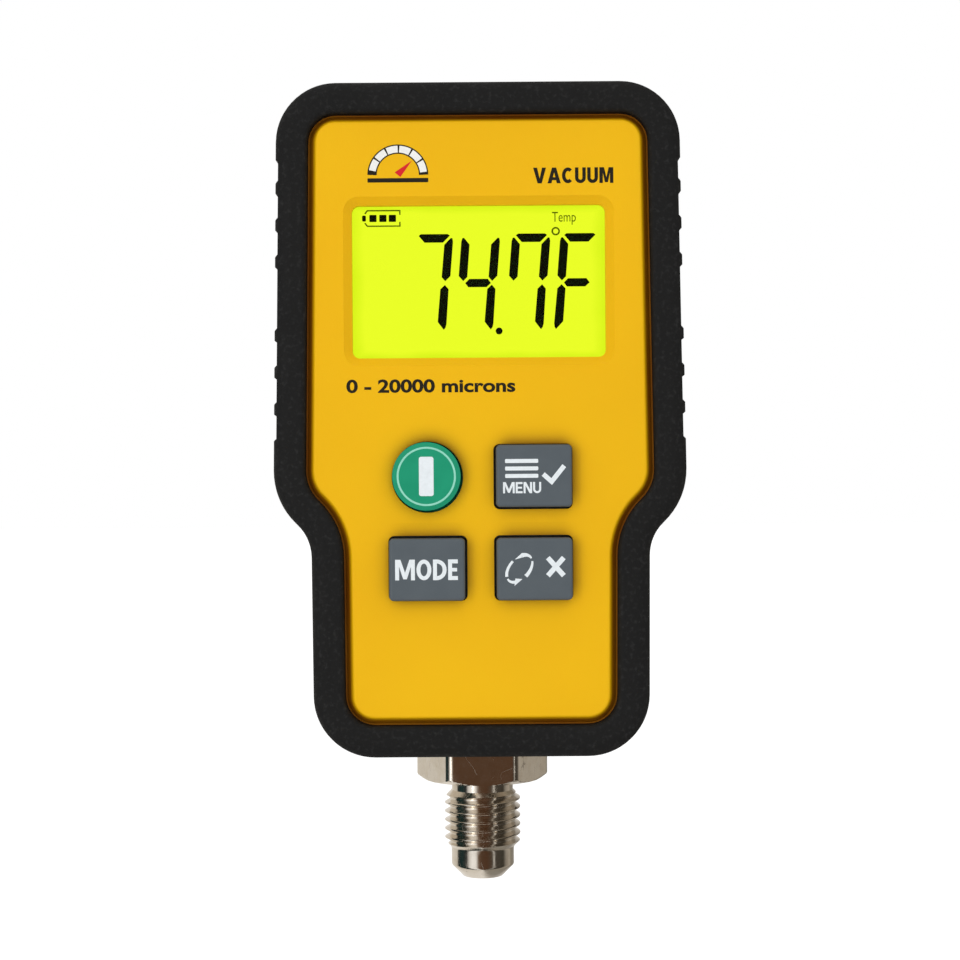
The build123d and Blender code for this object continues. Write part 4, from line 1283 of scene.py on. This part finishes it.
def makeFloor():
    s = stageSettings
    material, tree, bsdf = startMaterial("pale_floor")
    bsdf.inputs["Base Color"].default_value = s["floorColour"]
    bsdf.inputs["Roughness"].default_value = s["floorRoughness"]
    bsdf.inputs["Specular IOR Level"].default_value = 0.0
    seen = cameraLikeRays(tree, tree.nodes.new("ShaderNodeLightPath").outputs)
    lift = tree.nodes.new("ShaderNodeEmission")
    away = tree.nodes.new("ShaderNodeVectorMath")
    away.operation = "LENGTH"
    tree.links.new(objectCoords(tree), away.inputs[0])
    level = remap(tree, away.outputs["Value"], *s["floorLiftReach"], *s["floorLift"])
    tree.links.new(mathNode(tree, "MULTIPLY", seen, level), lift.inputs["Strength"])
    both = tree.nodes.new("ShaderNodeAddShader")
    tree.links.new(bsdf.outputs["BSDF"], both.inputs[0])
    tree.links.new(lift.outputs["Emission"], both.inputs[1])
    tree.links.new(both.outputs["Shader"], tree.nodes["Material Output"].inputs["Surface"])
    half = s["floorSize"] / 2
    mesh = bpy.data.meshes.new("floor")
    corners = [(-half, -half), (half, -half), (half, half), (-half, half)]
    mesh.from_pydata([(x, y, s["floorHeight"]) for x, y in corners], [], [(0, 1, 2, 3)])
    mesh.materials.append(material)
    floor = bpy.data.objects.new("floor", mesh)
    bpy.context.collection.objects.link(floor)
    floor.visible_glossy = False      # the metal sees the room bands below it too


roomSettings = {
    "white": (1.0, 1.0, 1.0, 1),
    # what polished metal sees, by compass angle round the gauge: share of a turn, colour
    "around": (
        (0.000, (0.85, 0.82, 0.78, 1)),       # straight behind
        (0.120, (0.74, 0.70, 0.63, 1)),
        (0.188, (0.66, 0.63, 0.57, 1)),
        (0.203, (0.02, 0.025, 0.025, 1)),     # dark stand on the left
        (0.262, (0.012, 0.035, 0.035, 1)),
        (0.325, (0.03, 0.03, 0.028, 1)),
        (0.350, (0.75, 0.74, 0.72, 1)),       # soft window
        (0.382, (1.0, 1.0, 1.0, 1)),
        (0.425, (0.95, 0.94, 0.92, 1)),
        (0.452, (0.17, 0.11, 0.075, 1)),
        (0.480, (0.095, 0.052, 0.030, 1)),    # brown wall at the camera
        (0.545, (0.088, 0.044, 0.024, 1)),
        (0.606, (0.075, 0.060, 0.045, 1)),
        (0.620, (0.70, 0.68, 0.64, 1)),       # narrow slit
        (0.634, (0.065, 0.055, 0.045, 1)),
        (0.735, (0.05, 0.045, 0.035, 1)),
        (0.775, (0.30, 0.27, 0.23, 1)),
        (0.833, (0.44, 0.40, 0.34, 1)),
        (0.856, (0.26, 0.24, 0.20, 1)),
        (0.930, (0.28, 0.26, 0.23, 1)),
        (1.000, (0.85, 0.82, 0.78, 1)),
    ),
}


def makeRoom():
    world = bpy.data.worlds.new("room")
    bpy.context.scene.world = world
    world.use_nodes = True
    tree = world.node_tree
    background = tree.nodes["Background"]
    ray = splitCoords(tree, tree.nodes.new("ShaderNodeTexCoord").outputs["Generated"])
    # angle of the ray round the upright axis: 0.5 is towards the camera, 0.25 to the left
    angle = mathNode(tree, "ARCTAN2", ray["X"], ray["Y"])
    share = mathNode(tree, "ADD", mathNode(tree, "DIVIDE", angle, 2 * pi), 1.0)
    share = mathNode(tree, "FRACT", share)
    share = mathNode(tree, "SUBTRACT", 1.0, share)
    ramp = tree.nodes.new("ShaderNodeValToRGB")
    stops = roomSettings["around"]
    bands = ramp.color_ramp.elements
    bands[0].color = stops[0][1]
    bands[1].color = stops[-1][1]
    for place, colour in stops[1:-1]:
        bands.new(place).color = colour
    tree.links.new(share, ramp.inputs["Fac"])
    path = tree.nodes.new("ShaderNodeLightPath").outputs
    colour = mixColours(tree, path["Is Glossy Ray"], roomSettings["white"], ramp.outputs["Color"])
    strength = remap(tree, cameraLikeRays(tree, path), 0.0, 1.0, stageSettings["roomLight"], 1.0)
    tree.links.new(colour, background.inputs["Color"])
    tree.links.new(strength, background.inputs["Strength"])


lampSettings = {
    # name: place, size across and up, power in watts, colour
    "left_box": ((-0.40, -0.55, 0.16), (0.10, 0.50), 0.5, (1.0, 0.985, 0.96)),
    "high_box": ((0.05, -0.62, 0.66), (0.60, 0.30), 0.45, (1.0, 1.0, 1.0)),
    "low_box": ((-0.16, -0.42, 0.0), (0.30, 0.06), 0.16, (1.0, 0.99, 0.97)),
    "right_strip": ((0.46, -0.42, 0.10), (0.03, 0.30), 0.12, (1.0, 0.96, 0.90)),
    "top_box": ((0.0, -0.05, 0.62), (0.50, 0.40), 0.15, (1.0, 1.0, 1.0)),
}


lampTarget = Vector((0, 0, 0.06))


def makeLamps():
    for name, (place, size, power, colour) in lampSettings.items():
        data = bpy.data.lights.new(name, "AREA")
        data.shape = "RECTANGLE"
        data.size, data.size_y = size
        data.energy = power
        data.color = colour
        lamp = bpy.data.objects.new(name, data)
        lamp.location = place
        lamp.rotation_euler = (lampTarget - Vector(place)).to_track_quat("-Z", "Y").to_euler()
        lamp.visible_glossy = name != "low_box"     # it would hide the brown wall in the hex
        bpy.context.collection.objects.link(lamp)


def makeStage():
    makeFloor()
    makeRoom()
    makeLamps()
    bpy.context.scene.view_settings.view_transform = "Standard"


makeStage()
print("stage done")
